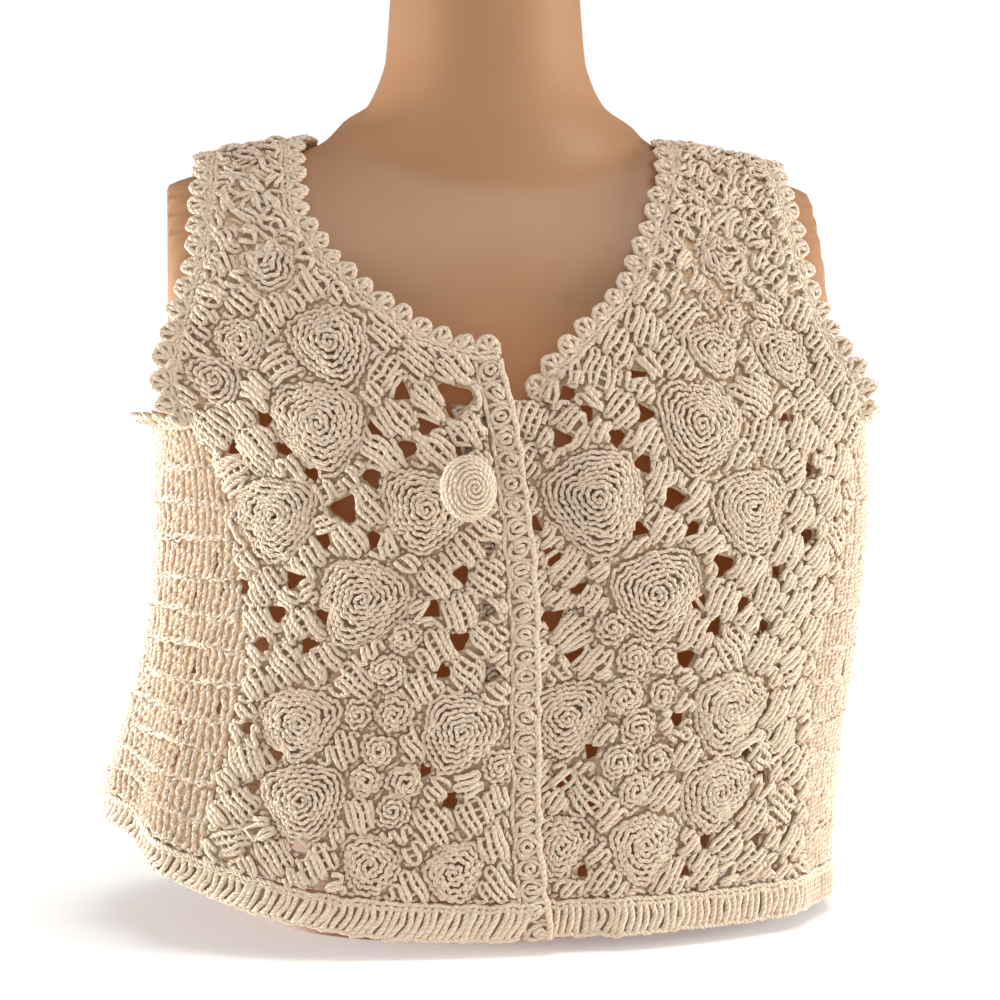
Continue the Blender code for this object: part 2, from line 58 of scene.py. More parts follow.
# A crochet top on a smooth dress form.  Inside the functions lengths are millimetres,
# the front faces -Y, the wearer's left is +X, and the form stands on z = 0.
#
# The cloth is one loft, as in the frame.  A place on it is (across, up): across is the
# length along a row from the centre front (or centre back), up the length from the hem.
# Each panel is a thin ground with holes in it, and the yarn that lies on the ground:
# runs of yarn are charted in (across, up, lift) and swept into tubes all at once.
MM = 0.001
SIDES = {"right": -1, "left": 1}     # the wearer's

# ---- sizes of the cloth
WALL = 4.6
SEAM = 0.3                 # open between neighbours
SHOULDER_SEAM = 0.9
HEM_SEAM = 0.9
HEM_DEPTH = 21
BAND_WIDTH = 16
NECK_EDGE = 12             # how far the scallops stand out
ARM_EDGE = 13
SCALLOP = 13.5             # from one scallop to the next
LAP_STEP = 5.4             # how far the left front steps back behind the right one,
LAP_FLAT = 16              # over what width in full,
LAP_BLEND = 26             # and over what width it comes forward again
LEAN = math.radians(52)    # outward lean of the armhole scallops at the underarm,
LEAN_FROM = 276            # the height up to which they lean in full,
LEAN_OVER = 80             # and the height over which they stand up straight
STUMP_AT = 184             # the form's flat shoulder ends, from its middle
BUTTON_AT = (-44, 238)     # across, up
BUTTON_WIDTH = 31
BUTTON_DEPTH = 21
STEM_LENGTH = 8
FRAME_SHIFT = np.array([1.0, 9.1, 0.0])   # puts the middle of the whole box at x = y = 0
SQUARE = 2.4               # power of the section's rounded corners
# height, drop, rise, shift, half width, front, back
CLOTH_ROWS = (
    (8, 0, 48, -17, 205, 119, 124),    # hem
    (53, 0, 34, -13, 203, 119, 120),   # hip
    (113, 0, 16, -3, 198, 118, 114),   # waist
    (178, 0, 4, 8, 197, 117, 107),     # ribs
    (238, 0, 0, 12, 198, 115, 102),    # bust
    (285, 2, 0, 8, 202, 110, 98),      # underarm
    (331, 8, 0, 0, 212, 96, 91),       # chest
    (373, 15, 0, 0, 214, 74, 79),      # yoke
    (411, 24, 0, 0, 213, 48, 54),      # strap
    (438, 30, 0, 0, 212, 22, 25),      # crest
    (449, 32, 0, 0, 212, 0, 0),        # shoulder seam
)
FORM_ROWS = (
    (0, 0, 0, 0, 128, 84, 86),
    (53, 0, 0, 0, 124, 80, 84),
    (113, 0, 0, 0, 128, 84, 86),
    (178, 0, 0, 0, 144, 96, 88),
    (238, 0, 0, 0, 160, 102, 90),
    (285, 2, 0, 0, 178, 96, 89),
    (331, 8, 0, 0, 206, 83, 84),
    (373, 15, 0, 0, 208, 67, 72),
    (408, 24, 0, 0, 207, 42, 48),
    (433, 30, 0, 0, 206, 17, 20),
    (442, 32, 0, 0, 206, 0, 0),
)
# height, half width, half depth, middle behind the axis, edge
NECK_ROWS = (
    (393, 102, 38, -2, 1.0),
    (423, 99, 42, -2, 1.1),
    (435, 95, 46, 1, 1.1),
    (448, 78, 53, 7, 0.8),
    (462, 65, 56, 13, 0.6),
    (481, 57, 57, 16, 0.5),
    (533, 53, 57, 21, 0.5),
)
NECK_LEAN = 3.5
NECK_TOP = 533
NECK_BLEND = 9
# up, across
OPENING = ((0, 30), (60, 17), (145, 2), (233, -12), (304, -15))
LAP = 32
UNDERARM = 272
SIDE_SEAM = {
    -1: ((0, 160), (140, 152), (245, 178), (UNDERARM, 192)),
    1: ((0, 186), (140, 168), (245, 190), (UNDERARM, 199)),
}
ARMHOLE = {
    -1: ((UNDERARM, 192), (285, 190), (300, 186), (325, 177), (363, 166), (413, 160), (493, 157)),
    1: ((UNDERARM, 199), (285, 193), (300, 184), (325, 172), (363, 161), (413, 156), (493, 155)),
}
NECKLINE = {
    -1: ((304, 32), (309, 52), (322, 68), (338, 87), (358, 106), (385, 120), (420, 122),
         (493, 119)),
    1: ((282, 2), (293, 8), (300, 20), (309, 32), (328, 54), (346, 68), (370, 80), (412, 98),
        (493, 111)),
}
NECK_BACK = ((411, 66), (429, 102), (448, 119), (463, 121))
BACK_NECK_DIP = 12

# ---- sizes of the yarn
YARN = 2.8                 # thickness of the yarn
PITCH = 3.6                # from one run of a block to the next
ROUND = 2.75               # from one round of a rosette to the next
STITCH_LENGTH = 4.4        # of a stitch along a round
TWIST = 9.0                # length of one turn of the ply
GROUND = 1.4               # thickness of the ground
YOKE_LIFT = 1.4            # how much nearer the ground lies under the close work of the yoke
GROUND_LIFT = -1.0         # middle of the ground, from the middle of the cloth
REST = 0.7                 # lift of a run that lies on the ground
PLIES = 3.0
BLOCK_DOME = 3.2           # how far the middle of a block stands up
BLOCK_REACH = 15           # the furthest that a block's runs go from its middle
BLOCK_ROUND = 14.0         # the distance from its middle at which a block lies flat
TURNED_BLOCKS = 0.12       # share of the blocks that lie crosswise
BAND_BLOCK = 11.2          # height of a block of the front bands
ROW = 20.8                 # height of a row of tall posts in the ladder panels
POST = 4.3                 # from post to post
SLITS = 0.22               # share of the posts that have a slit beside them
HEM_STITCH = 4.0           # from one arc of the hem to the next
BUTTON_PITCH = 2.3         # from one turn of the button's run to the next

# ---- the eye
# The fronts are charted as seen from the front: columns to the wearer's left and rows
# down from the underarm, both in 4 mm stitches on the upright plane through the form.
STITCH = 4.0
EYE_TURN = math.radians(-8.5)      # round from the front, towards the wearer's right
EYE_TILT = math.radians(2.88)      # how far it looks down
AIM_OFF = math.radians(0.1308)     # how far it looks past the middle
EYE_DISTANCE = 1250.0
EYE_HEIGHT = 296.0
LENS = 78.84

# column, row, radius in mm
BIG = {
    -1: ((-25, 5, 25), (-31.5, 18, 24), (-19, 30, 25), (-10, 17, 23), (-28, 48, 22),
         (-27.5, 59, 23), (-5, 49, 22), (-18, 68.5, 17), (-6, 69.5, 17), (-32, -18, 16),
         (-23.5, -6.5, 22), (-36.5, -7, 15), (-40, -1.5, 14)),
    1: ((14.5, 15.5, 28), (23, 29, 26), (29, 5, 25), (36.5, 17, 24), (10, 47, 22),
        (33.5, 46, 23), (32, 58, 22), (21.5, 65.5, 20), (9.5, 65.5, 18), (32.5, -18.5, 17),
        (41, -5, 18), (31, -5.5, 16)),
}
SMALL = {
    -1: ((-13, 35.5, 10), (-15.5, 40.5, 10.5), (-19.5, 46.5, 9.5), (-14.5, 46.5, 11),
         (-16.5, 51.5, 10.5), (-18.5, 56, 9.5), (-13, 56.5, 11), (-15, 60.5, 10.5), (0.5, 54, 10)),
    1: ((17, 34, 10), (20, 38.5, 11.5), (24, 38.5, 9.5), (18.5, 44, 12), (24, 43.5, 9.5),
        (20.5, 48.5, 11.5), (17.5, 53.5, 11), (23, 53, 10.5), (20, 57.5, 10.5), (31, -13, 8),
        (35, -13.5, 8), (34, -11, 7.5), (33.5, -8.5, 8), (37.5, -8.5, 8)),
}
HOLES = {
    -1: ((-13.5, 0, 3), (-9.5, 4.5, 3.4), (-5.5, 1, 6), (-17.5, 5.5, 2.4), (-12.5, 8.5, 3.2),
         (-37.5, 8.5, 2.4), (-40.5, 13.5, 2.4), (-26, 12, 2.2), (-17.5, 12.5, 3),
         (-21.5, 17, 4.6), (-24.5, 21.5, 2.4), (-17, 21.5, 2.6), (-36, 28, 2.6), (-29, 27, 3.2),
         (-31.5, 32, 3), (-24.5, 32.5, 2.4), (-27, 36.5, 2.8), (-33.5, 36.5, 2.4),
         (-23.5, 41, 2.2), (-1, 22.5, 2.6), (-5, 26.5, 2.6), (-9, 31.5, 2.8), (-1, 31.5, 3),
         (-5, 36, 3), (-0.5, 40.5, 2.8), (-7.5, 40.5, 2.2), (-32, 52.5, 3), (-35.5, 48.5, 2.2),
         (-35, 57, 2.2), (-10, 55, 2.2), (-6.5, 59, 2.8), (-34.5, 63.5, 2.4), (-28, 66, 2.8),
         (-25, 71.5, 2), (-4.5, 8, 2.8), (-1, 4.5, 2.6), (-33, 4, 2.4), (-34.5, 1.5, 2),
         (-30.5, 8.5, 2.2)),
    1: ((20.5, -2.5, 2.6), (10, 0.5, 2.6), (13.5, 3.5, 2.4), (21.5, 3.5, 2.8), (17.5, 6.5, 2.8),
        (9.5, 7, 3), (21.5, 10.5, 2.8), (25.5, 15.5, 3.8), (21, 20, 2.6), (28.5, 20, 2.8),
        (33, 25, 4), (8.5, 24, 2.8), (5.5, 19.5, 2.6), (12.5, 28.5, 2.6), (8.5, 33, 3.6),
        (11.5, 38, 2.6), (29.5, 30.5, 2.2), (31.5, 34, 2.8), (35.5, 30.5, 2.4), (40.5, 26, 2.4),
        (41.5, 3.5, 2.2), (45, 11.5, 2.6), (45, 21, 2.6), (38.5, 34, 2.6), (27.5, 38.5, 3),
        (26.5, 47, 2.2), (36.5, 51.5, 2.6), (38.5, 55.5, 2.2), (14, 52, 2.2), (10, 56.5, 2.6),
        (14, 60, 2), (30.5, 65, 2.2), (37.5, 64.5, 2.6), (27.5, 69, 2), (33.5, 69, 2),
        (40, 68, 2.2), (12.5, 69.5, 2)),
}
# On the back: across, up, radius.
BACK_BIG = ((-128, 60, 22), (-70, 50, 21), (-8, 62, 24), (58, 48, 21), (118, 66, 22),
            (-100, 118, 21), (-38, 124, 23), (34, 118, 22), (96, 132, 22), (-130, 176, 21),
            (-72, 184, 23), (-6, 186, 24), (62, 190, 22), (126, 196, 21), (-104, 244, 22),
            (-38, 250, 22), (30, 252, 24), (92, 256, 21), (-132, 306, 19), (-70, 312, 22),
            (-2, 316, 23), (64, 318, 21), (128, 314, 19), (-108, 366, 18), (-34, 372, 20),
            (36, 374, 20), (106, 370, 18), (-134, 420, 15), (134, 424, 15))
BACK_SMALL = ((-40, 82, 10), (22, 84, 10), (-66, 150, 10), (-4, 148, 10), (6, 220, 10),
              (-10, 284, 10), (66, 222, 9), (-70, 218, 9), (30, 346, 9), (-36, 344, 9),
              (92, 96, 9), (-104, 84, 9))


# ---- small tools
def unit(v):
    return v / np.maximum(np.linalg.norm(v, axis=-1, keepdims=True), 1e-9)


def table(pairs, up):
    """Reads an (up, across) table."""
    ups, acrosses = zip(*pairs)
    return np.interp(up, ups, acrosses)


def ease(x):
    """0 below 0, 1 above 1, and the smooth 3 x^2 - 2 x^3 between."""
    x = np.clip(x, 0, 1)
    return x * x * (3 - 2 * x)


def hill(x, middle, wide):
    """exp(-((x - middle) / wide)^2)."""
    return np.exp(-(((x - middle) / wide) ** 2))


def bell(reach, wide):
    """Weights of a soft mean over `reach` neighbours each way."""
    weights = np.exp(-0.5 * (np.arange(-reach, reach + 1) / wide) ** 2)
    return weights / weights.sum()


def levels(low, high, step):
    return np.linspace(low, high, max(2, int(round((high - low) / step)) + 1))


def plane(across, up):
    """Every pair of the two lists, as two flat lists."""
    return (g.ravel() for g in np.meshgrid(across, up))


def lengths_along(path):
    return np.concatenate([[0], np.cumsum(np.linalg.norm(np.diff(path, axis=0), axis=1))])


def read_along(at, length, path):
    """The path's points at these lengths."""
    return np.stack([np.interp(at, length, path[:, i]) for i in range(3)], -1)


def grid_faces(rows, columns, closed=False):
    """The four corners round each cell of a grid of points; a closed one joins its last column
    to its first."""
    steps = np.arange(rows - 1), np.arange(columns if closed else columns - 1)
    r, c = (g.ravel() for g in np.meshgrid(*steps, indexing="ij"))
    low, high, beside = r * columns, (r + 1) * columns, (c + 1) % columns
    return np.stack([low + c, low + beside, high + beside, high + c], 1)


TURN_OVER = [0, 3, 2, 1]   # the order of corners that makes a face look the other way


# ---- the loft
def spline(column, place, turn=1.0):
    """Catmull-Rom line through evenly spaced values; past the last it mirrors them."""
    v = np.asarray(column, float)
    v = np.concatenate([[2 * v[0] - v[1]], v, [turn * v[-2]]])
    x = np.clip(place, 0, 1) * (len(column) - 1)
    i = np.minimum(x.astype(int), len(column) - 2)
    f = x - i
    a, b, c, d = v[i], v[i + 1], v[i + 2], v[i + 3]
    return 0.5 * (2 * b + (c - a) * f + (2 * a - 5 * b + 4 * c - d) * f**2
                  + (3 * b - a - 3 * c + d) * f**3)


def section(rows, place):
    """The row's values at a place from 0 (hem) to 1 (shoulder seam)."""
    place = np.asarray(place, float)
    height, drop, rise, shift, width, front, back = zip(*rows)
    even = [spline(c, place) for c in (height, drop, rise, shift, width)]
    return even + [spline(front, place, -1), spline(back, place, -1)]


def loft_point(rows, place, angle, side, is_back):
    """x = shift + side width sin^(2/2.4), y = depth cos^(2/2.4), z = height - drop + rise."""
    height, drop, rise, shift, width, front, back = section(rows, place)
    across = np.abs(np.sin(angle)) ** (2 / SQUARE)
    along = np.abs(np.cos(angle)) ** (2 / SQUARE)
    ride = rise * across**2.2 if side < 0 else 0
    x = shift + side * width * across
    y = back * along if is_back else -front * along
    z = height - drop * across**1.2 + ride
    return np.stack(np.broadcast_arrays(x, y, z), -1)


class Cloth:
    """The cloth's middle surface, looked up by lengths along it."""

    STEP = 3.0             # from row to row of the look-up grid
    SHARES = 121           # points in a quarter of a row

    def __init__(self):
        fine = np.linspace(0, 1, 400)
        up = lengths_along(loft_point(CLOTH_ROWS, fine, 0.8, 1, False))
        self.top = up[-1]
        self.ups = np.linspace(0, self.top, int(self.top / self.STEP))
        places = np.interp(self.ups, up, fine)
        self.shares = np.linspace(0, 1, self.SHARES)
        self.grid = {}
        self.length = {}
        angles = np.linspace(0, math.pi / 2, 240)
        for side in (-1, 1):
            for is_back in (False, True):
                raw = loft_point(CLOTH_ROWS, places[:, None], angles[None, :], side, is_back)
                gaps = np.linalg.norm(np.diff(raw, axis=1), axis=2)
                run = np.concatenate([np.zeros((len(places), 1)), np.cumsum(gaps, 1)], 1)
                rows = [read_along(self.shares * r[-1], r, points) for points, r in zip(raw, run)]
                self.grid[side, is_back] = np.array(rows)
                self.length[side, is_back] = run[:, -1]

    def quarter(self, side, is_back, up):
        """Length of a row from the centre to the side."""
        return np.interp(up, self.ups, self.length[side, is_back])

    def half(self, side, up):
        """Length of a row from the centre front round to the centre back."""
        return self.quarter(side, False, up) + self.quarter(side, True, up)

    def look_up(self, side, is_back, share, up):
        """Bilinear look-up of one quarter of the cloth."""
        grid = self.grid[side, is_back]
        r = np.clip(up / self.top, 0, 1) * (len(self.ups) - 1)
        c = np.clip(share, 0, 1) * (len(self.shares) - 1)
        r0 = np.minimum(r.astype(int), len(self.ups) - 2)
        c0 = np.minimum(c.astype(int), len(self.shares) - 2)
        fr = (r - r0)[..., None]
        fc = (c - c0)[..., None]
        low = grid[r0, c0] * (1 - fc) + grid[r0, c0 + 1] * fc
        high = grid[r0 + 1, c0] * (1 - fc) + grid[r0 + 1, c0 + 1] * fc
        return low * (1 - fr) + high * fr

    def wrap(self, across, up):
        """Brings a length that runs past the centre back round to the other side."""
        right, left = self.half(-1, up), self.half(1, up)
        across = np.where(across > left, across - left - right, across)
        return np.where(across < -right, across + left + right, across)

    def around(self, across, up):
        """Positive across runs over the wearer's left side to the back, negative over the right."""
        across, up = np.broadcast_arrays(np.asarray(across, float), np.asarray(up, float))
        across = self.wrap(across, up)
        out = np.zeros(across.shape + (3,))
        run = np.abs(across)
        for side in (-1, 1):
            here = (across < 0) == (side < 0)
            front, back = (self.quarter(side, is_back, up) for is_back in (False, True))
            for is_back, share in ((False, run / front), (True, 1 - (run - front) / back)):
                there = here & ((run > front) == is_back)
                out[there] = self.look_up(side, is_back, share, up)[there]
        return out

    def back(self, across, up):
        """The back, positive across towards the wearer's right."""
        across, up = np.broadcast_arrays(np.asarray(across, float), np.asarray(up, float))
        out = np.zeros(across.shape + (3,))
        for side in (-1, 1):
            here = (across > 0) == (side < 0)
            share = np.abs(across) / self.quarter(side, True, up)
            out[here] = self.look_up(side, True, share, up)[here]
        return out

    def frame(self, place, across, up):
        """Point and outward normal."""
        d_across = place(across + 1.0, up) - place(across - 1.0, up)
        above, below = np.minimum(up + 1.0, self.top), np.maximum(up - 1.0, 0)
        d_up = place(across, above) - place(across, below)
        return place(across, up), unit(np.cross(d_across, d_up))


def lap_sink(across, up):
    """The left front steps back behind the right one near the opening."""
    return LAP_STEP * (1 - ease((across - table(OPENING, up) - LAP_FLAT) / LAP_BLEND))


def outer_edge(side, ups):
    """The outer edge of a front or of the back: side seam, then armhole."""
    return np.where(ups <= UNDERARM, table(SIDE_SEAM[side], ups), table(ARMHOLE[side], ups))


def inner_edge(side, ups):
    """The inner edge of a front: along its band, then the neckline."""
    opening = table(OPENING, ups) - (0 if side < 0 else LAP)
    band = opening + side * (BAND_WIDTH + SEAM)
    return np.where(ups <= NECKLINE[side][0][0], band, side * table(NECKLINE[side], ups))


def front_edges(side, ups):
    """A front's two edges, the one nearer the wearer's right first."""
    edges = side * outer_edge(side, ups), inner_edge(side, ups)
    return edges if side < 0 else edges[::-1]


cloth = Cloth()
TOP = cloth.top - SHOULDER_SEAM / 2


def folds(across, up):
    """The creases as rise off the loft: towards the hem a ridge and a hollow beside each side
    seam, over the body a slow roll, and a swell where each front stands off under the arm."""
    low = ease((150 - up) / 130)
    right = 3.5 * hill(across, -184, 14) - 5.5 * hill(across, -214, 15)
    left = 2.5 * hill(across, 176, 16) - 2.5 * hill(across, 206, 18)
    roll = 0.8 * np.sin(across / 23 + up / 41) * ease((UNDERARM - up) / 60)
    swell = 14.0 * hill(up, 301, 22) * hill(across, -196, 22)
    swell = swell + 8.0 * hill(up, 301, 27) * hill(across, 196, 22)
    body = ease((262 - up) / 30)
    right_hip = 5.0 * ease((up - 40) / 60) * hill(across, -232, 26)
    left_hip = (2.0 + 2.4 * ease((170 - up) / 40)) * hill(across, 226, 28)
    return low * (right + left) + roll + swell + body * (right_hip + left_hip)


def hem_rise(across, up):
    """The hem is drawn up over the right hip."""
    return 8.0 * hill(across, -228, 26) * ease((100 - up) / 90)


def on_cloth(where, sink=None):
    """A placer: (across, up, lift) to a point lifted off the cloth, and its normal."""
    def place(across, up, lift):
        point, normal = cloth.frame(where, across, up)
        if sink is not None:
            lift = lift - sink(across, up)
        if where == cloth.around:
            wrapped = cloth.wrap(across, up)
            lift = lift + folds(wrapped, up)
            point[..., 2] += hem_rise(wrapped, up)
        return point + normal * lift[..., None], normal
    return place


def front_cloth(side):
    return on_cloth(cloth.around, lap_sink if side > 0 else None)


# ---- meshes
def mesh_object(name, points, faces, material, uv=None):
    """One mesh from points in mm and a list of face arrays of 3 or more corners a face."""
    mesh = bpy.data.meshes.new(name)
    mesh.vertices.add(len(points))
    mesh.vertices.foreach_set("co", ((points + FRAME_SHIFT) * MM).astype(np.float32).ravel())
    corners = np.concatenate([f.ravel() for f in faces]).astype(np.int32)
    sizes = np.concatenate([np.full(len(f), f.shape[1]) for f in faces])
    mesh.loops.add(len(corners))
    mesh.loops.foreach_set("vertex_index", corners)
    mesh.polygons.add(len(sizes))
    starts = np.concatenate([[0], np.cumsum(sizes)[:-1]])
    mesh.polygons.foreach_set("loop_start", starts.astype(np.int32))
    mesh.update(calc_edges=True)
    if uv is not None:
        layer = mesh.uv_layers.new(name="yarn_length")
        layer.data.foreach_set("uv", uv.astype(np.float32).ravel())
    mesh.materials.append(material)
    mesh.shade_smooth()
    thing = bpy.data.objects.new(name, mesh)
    bpy.context.scene.collection.objects.link(thing)
    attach(thing, "root")
    return thing


def shell(name, points, normals, faces):
    """A closed wall of ground: the faces moved out and in by half its thickness, and rims."""
    used, faces = np.unique(faces, return_inverse=True)
    faces = faces.reshape(-1, 4)
    count = len(used)
    points, normals = points.reshape(-1, 3)[used], normals.reshape(-1, 3)[used]
    start = faces.ravel()
    end = np.roll(faces, -1, 1).ravel()
    lone = ~np.isin(start * count + end, end * count + start)
    rims = np.stack([end[lone], start[lone], start[lone] + count, end[lone] + count], 1)
    half = normals * GROUND / 2
    both = np.concatenate([points + half, points - half])
    # The ground is made of the cotton painted darker as shade.
    return mesh_object(name, both, [faces, faces[:, ::-1] + count, rims], shade_painted_ground_cotton)


class Yarn:
    """Runs of yarn on one surface, gathered and then swept as one mesh."""

    def __init__(self, place, step, holes=(), sides=5, grain=1.0):
        self.place = place
        self.grain = grain         # 1 in front, more where the runs are coarser
        self.step = step
        self.sides = sides
        self.holes = np.array(holes, float).reshape(-1, 3)
        self.runs = []

    def lay(self, a, b, lift, thick=YARN, soften=0, step=None):
        """Adds a run through these places, corners cut `soften` times and steps made even."""
        path = np.stack(np.broadcast_arrays(np.asarray(a, float), b, lift), -1)
        for _ in range(soften):
            near = path[:-1] * 0.75 + path[1:] * 0.25
            far = path[:-1] * 0.25 + path[1:] * 0.75
            middle = np.stack([near, far], 1).reshape(-1, 3)
            path = np.concatenate([path[:1], middle, path[-1:]])
        length = lengths_along(path)
        count = max(3, int(round(length[-1] / (step or self.step))) + 1)
        at = np.linspace(0, length[-1], count)
        self.runs.append((read_along(at, length, path), at, thick * self.grain))

    def crumple(self, path):
        """Sideways drift of the runs: slanting sines 9 to 23 mm long, stronger near the top."""
        a, b = path[:, 0], path[:, 1]
        strength = 0.22 + 0.4 * ease((b - 320) / 50)
        for n in range(7):
            way = 2.4 * n + 0.5
            phase = 2 * math.pi * (a * math.cos(way) + b * math.sin(way)) / (9 + 2.3 * n) + 1.7 * n
            path[:, 0] += strength * np.sin(phase)
            path[:, 1] += strength * np.cos(1.3 * phase + n)
            path[:, 2] += 0.35 * strength * np.sin(1.7 * phase + 2 * n)
        return path

    def clear_holes(self, path):
        """Pushes runs off the middle of each hole: distance d becomes d + k exp(-(d / 1.3k)^2)."""
        if not len(self.holes):
            return path
        away = path[:, None, :2] - self.holes[None, :, :2]
        distance = np.linalg.norm(away, axis=2) + 1e-6
        k = (self.holes[:, 2] * 0.9 + 1.0) * ragged(away, self.holes[:, 0], self.holes[:, 1])
        push = k * np.exp(-((distance / (1.3 * k)) ** 2))
        moved = path.copy()
        moved[:, :2] += np.sum(away / distance[..., None] * push[..., None], 1)
        return moved

    def finish(self, name):
        path = self.clear_holes(self.crumple(np.concatenate([r[0] for r in self.runs])))
        counts = np.array([len(r[0]) for r in self.runs])
        run = np.repeat(np.arange(len(counts)), counts)
        radius = np.repeat([r[2] / 2 for r in self.runs], counts)
        length = np.concatenate([r[1] for r in self.runs])
        point, normal = self.place(*path.T)
        return sweep(name, point, normal, run, radius, length, self.sides)


def sweep(name, point, normal, run, radius, length, sides):
    """Closed tubes about many paths at once: p + r (cos t side + sin t top), with flat ends."""
    index = np.arange(len(point))
    first = np.concatenate([[True], run[1:] != run[:-1]])
    last = np.concatenate([first[1:], [True]])
    ahead = unit(point[np.where(last, index, index + 1)] - point[np.where(first, index, index - 1)])
    side = unit(np.cross(ahead, normal))
    top = np.cross(side, ahead)
    t = (2 * math.pi * np.arange(sides) / sides)[None, :, None]
    ring = side[:, None] * np.cos(t) + top[:, None] * np.sin(t)
    points = (point[:, None] + ring * radius[:, None, None]).reshape(-1, 3)
    j = np.arange(sides)
    k = (j + 1) % sides
    i = index[~last][:, None]
    quads = np.stack([i * sides + j, (i + 1) * sides + j, (i + 1) * sides + k, i * sides + k], -1)
    starts = index[first][:, None] * sides + j
    ends = (index[last][:, None] * sides + j)[:, ::-1]
    u = length[~last][:, None] * np.ones(sides)
    v = length[np.where(last, index, index + 1)][~last][:, None] * np.ones(sides)
    low = np.broadcast_to(j / sides, u.shape)
    high = np.broadcast_to((j + 1) / sides, u.shape)
    uv = np.stack([u, low, v, low, v, high, u, high], -1).reshape(-1, 2)
    caps = np.zeros(((len(starts) + len(ends)) * sides, 2))
    uv = np.concatenate([uv, caps]) * [1 / TWIST, 1]
    return mesh_object(name, points, [quads.reshape(-1, 4), starts, ends], cotton, uv)


# ---- materials
def linear(code):
    """An sRGB hex colour as linear light."""
    c = np.array([int(code[i:i + 2], 16) for i in (1, 3, 5)]) / 255
    c = np.where(c <= 0.04045, c / 12.92, ((c + 0.055) / 1.055) ** 2.4)
    return (*c, 1.0)


def add(tree, kind, settings=None, inputs=None, links=None):
    """Adds a node, sets its properties and sockets, and links sockets to others' outputs."""
    node = tree.nodes.new("ShaderNode" + kind)
    for key, value in (settings or {}).items():
        setattr(node, key, value)
    for key, value in (inputs or {}).items():
        node.inputs[key].default_value = value
    for key, value in (links or {}).items():
        tree.links.new(value, node.inputs[key])
    return node


def start_material(name, colour, roughness):
    material = bpy.data.materials.new(name)
    material.use_nodes = True
    tree = material.node_tree
    shader = tree.nodes["Principled BSDF"]
    shader.inputs["Base Color"].default_value = linear(colour)
    shader.inputs["Roughness"].default_value = roughness
    material.diffuse_color = linear(colour)
    return material, tree, shader


def colour_and_bump(tree, shader, colour, bump):
    tree.links.new(colour.outputs[2], shader.inputs["Base Color"])
    tree.links.new(bump.outputs["Normal"], shader.inputs["Normal"])


def make_yarn_material():
    """Combed cotton, three plies twisted: matt, with slanting grooves that are painted darker as
    shade, and loose fibre.
    """
    material, tree, shader = start_material("three_ply_ecru_cotton", "#F4E3CD", 0.88)
    shader.inputs["Sheen Weight"].default_value = 0.25
    shader.inputs["Sheen Roughness"].default_value = 0.6
    place = add(tree, "TexCoord")
    length = add(tree, "UVMap", {"uv_map": "yarn_length"})
    parts = add(tree, "SeparateXYZ", links={0: length.outputs["UV"]})
    # Round the run and along it, each times the plies, add up to the slant of the grooves.
    plies, turns = (add(tree, "Math", {"operation": "MULTIPLY"}, {1: PLIES},
                        {0: parts.outputs[axis]}) for axis in "YX")
    slant = add(tree, "Math", {"operation": "ADD"},
                links={0: turns.outputs[0], 1: plies.outputs[0]})
    angle = add(tree, "Math", {"operation": "MULTIPLY"}, {1: 2 * math.pi},
                {0: slant.outputs[0]})
    groove = add(tree, "Math", {"operation": "SINE"}, links={0: angle.outputs[0]})
    share = add(tree, "MapRange", inputs={"From Min": -1.0, "From Max": 1.0},
                links={"Value": groove.outputs[0]})
    # Blotches some 20 mm across, and fibre of under 1 mm, drawn coarser than real to show.
    blotch = add(tree, "TexNoise", inputs={"Scale": 45.0, "Detail": 3.0},
                 links={"Vector": place.outputs["Object"]})
    fibre = add(tree, "TexNoise",
                inputs={"Scale": 1400.0, "Detail": 2.0, "Roughness": 0.7},
                links={"Vector": place.outputs["Object"]})
    tone = add(tree, "Math", {"operation": "MULTIPLY_ADD"}, {1: 0.35, 2: 0.05},
               {0: blotch.outputs["Fac"]})
    # Painted shade: the colour darkens in the grooves between the plies; the blotches add the
    # yarn's own uneven tone.
    depth = add(tree, "Math", {"operation": "MULTIPLY_ADD"}, {1: -0.3, 2: 0.3},
                {0: share.outputs["Result"]})
    both = add(tree, "Math", {"operation": "ADD"},
               links={0: tone.outputs[0], 1: depth.outputs[0]})
    colour = add(tree, "Mix", {"data_type": "RGBA"},
                 {6: linear("#F4E3CD"), 7: linear("#D2AC83")}, {"Factor": both.outputs[0]})
    relief = add(tree, "Math", {"operation": "MULTIPLY_ADD"}, {1: 0.35},
                 {0: fibre.outputs["Fac"], 2: share.outputs["Result"]})
    bump = add(tree, "Bump", inputs={"Strength": 0.9, "Distance": 0.0007},
               links={"Height": relief.outputs[0]})
    colour_and_bump(tree, shader, colour, bump)
    return material


def make_ground_material():
    """The chain ground behind the raised runs: the same cotton, painted darker as shade, and
    closely looped, with painted shade towards the rim of each loop.
    """
    material, tree, shader = start_material("cotton_chain_ground_painted_shade", "#A98C6C", 0.95)
    place = add(tree, "TexCoord")
    # Loops 1 / 420 of a metre apart, which is 2.4 mm.
    loops = add(tree, "TexVoronoi", inputs={"Scale": 420.0},
                links={"Vector": place.outputs["Object"]})
    # Painted shade: darker towards the rim of each loop, on a ground already darker than the runs.
    colour = add(tree, "Mix", {"data_type": "RGBA"},
                 {6: linear("#DDC2A0"), 7: linear("#BF9974")},
                 {"Factor": loops.outputs["Distance"]})
    bump = add(tree, "Bump", {"invert": True}, {"Strength": 0.8, "Distance": 0.0012},
               {"Height": loops.outputs["Distance"]})
    colour_and_bump(tree, shader, colour, bump)
    return material


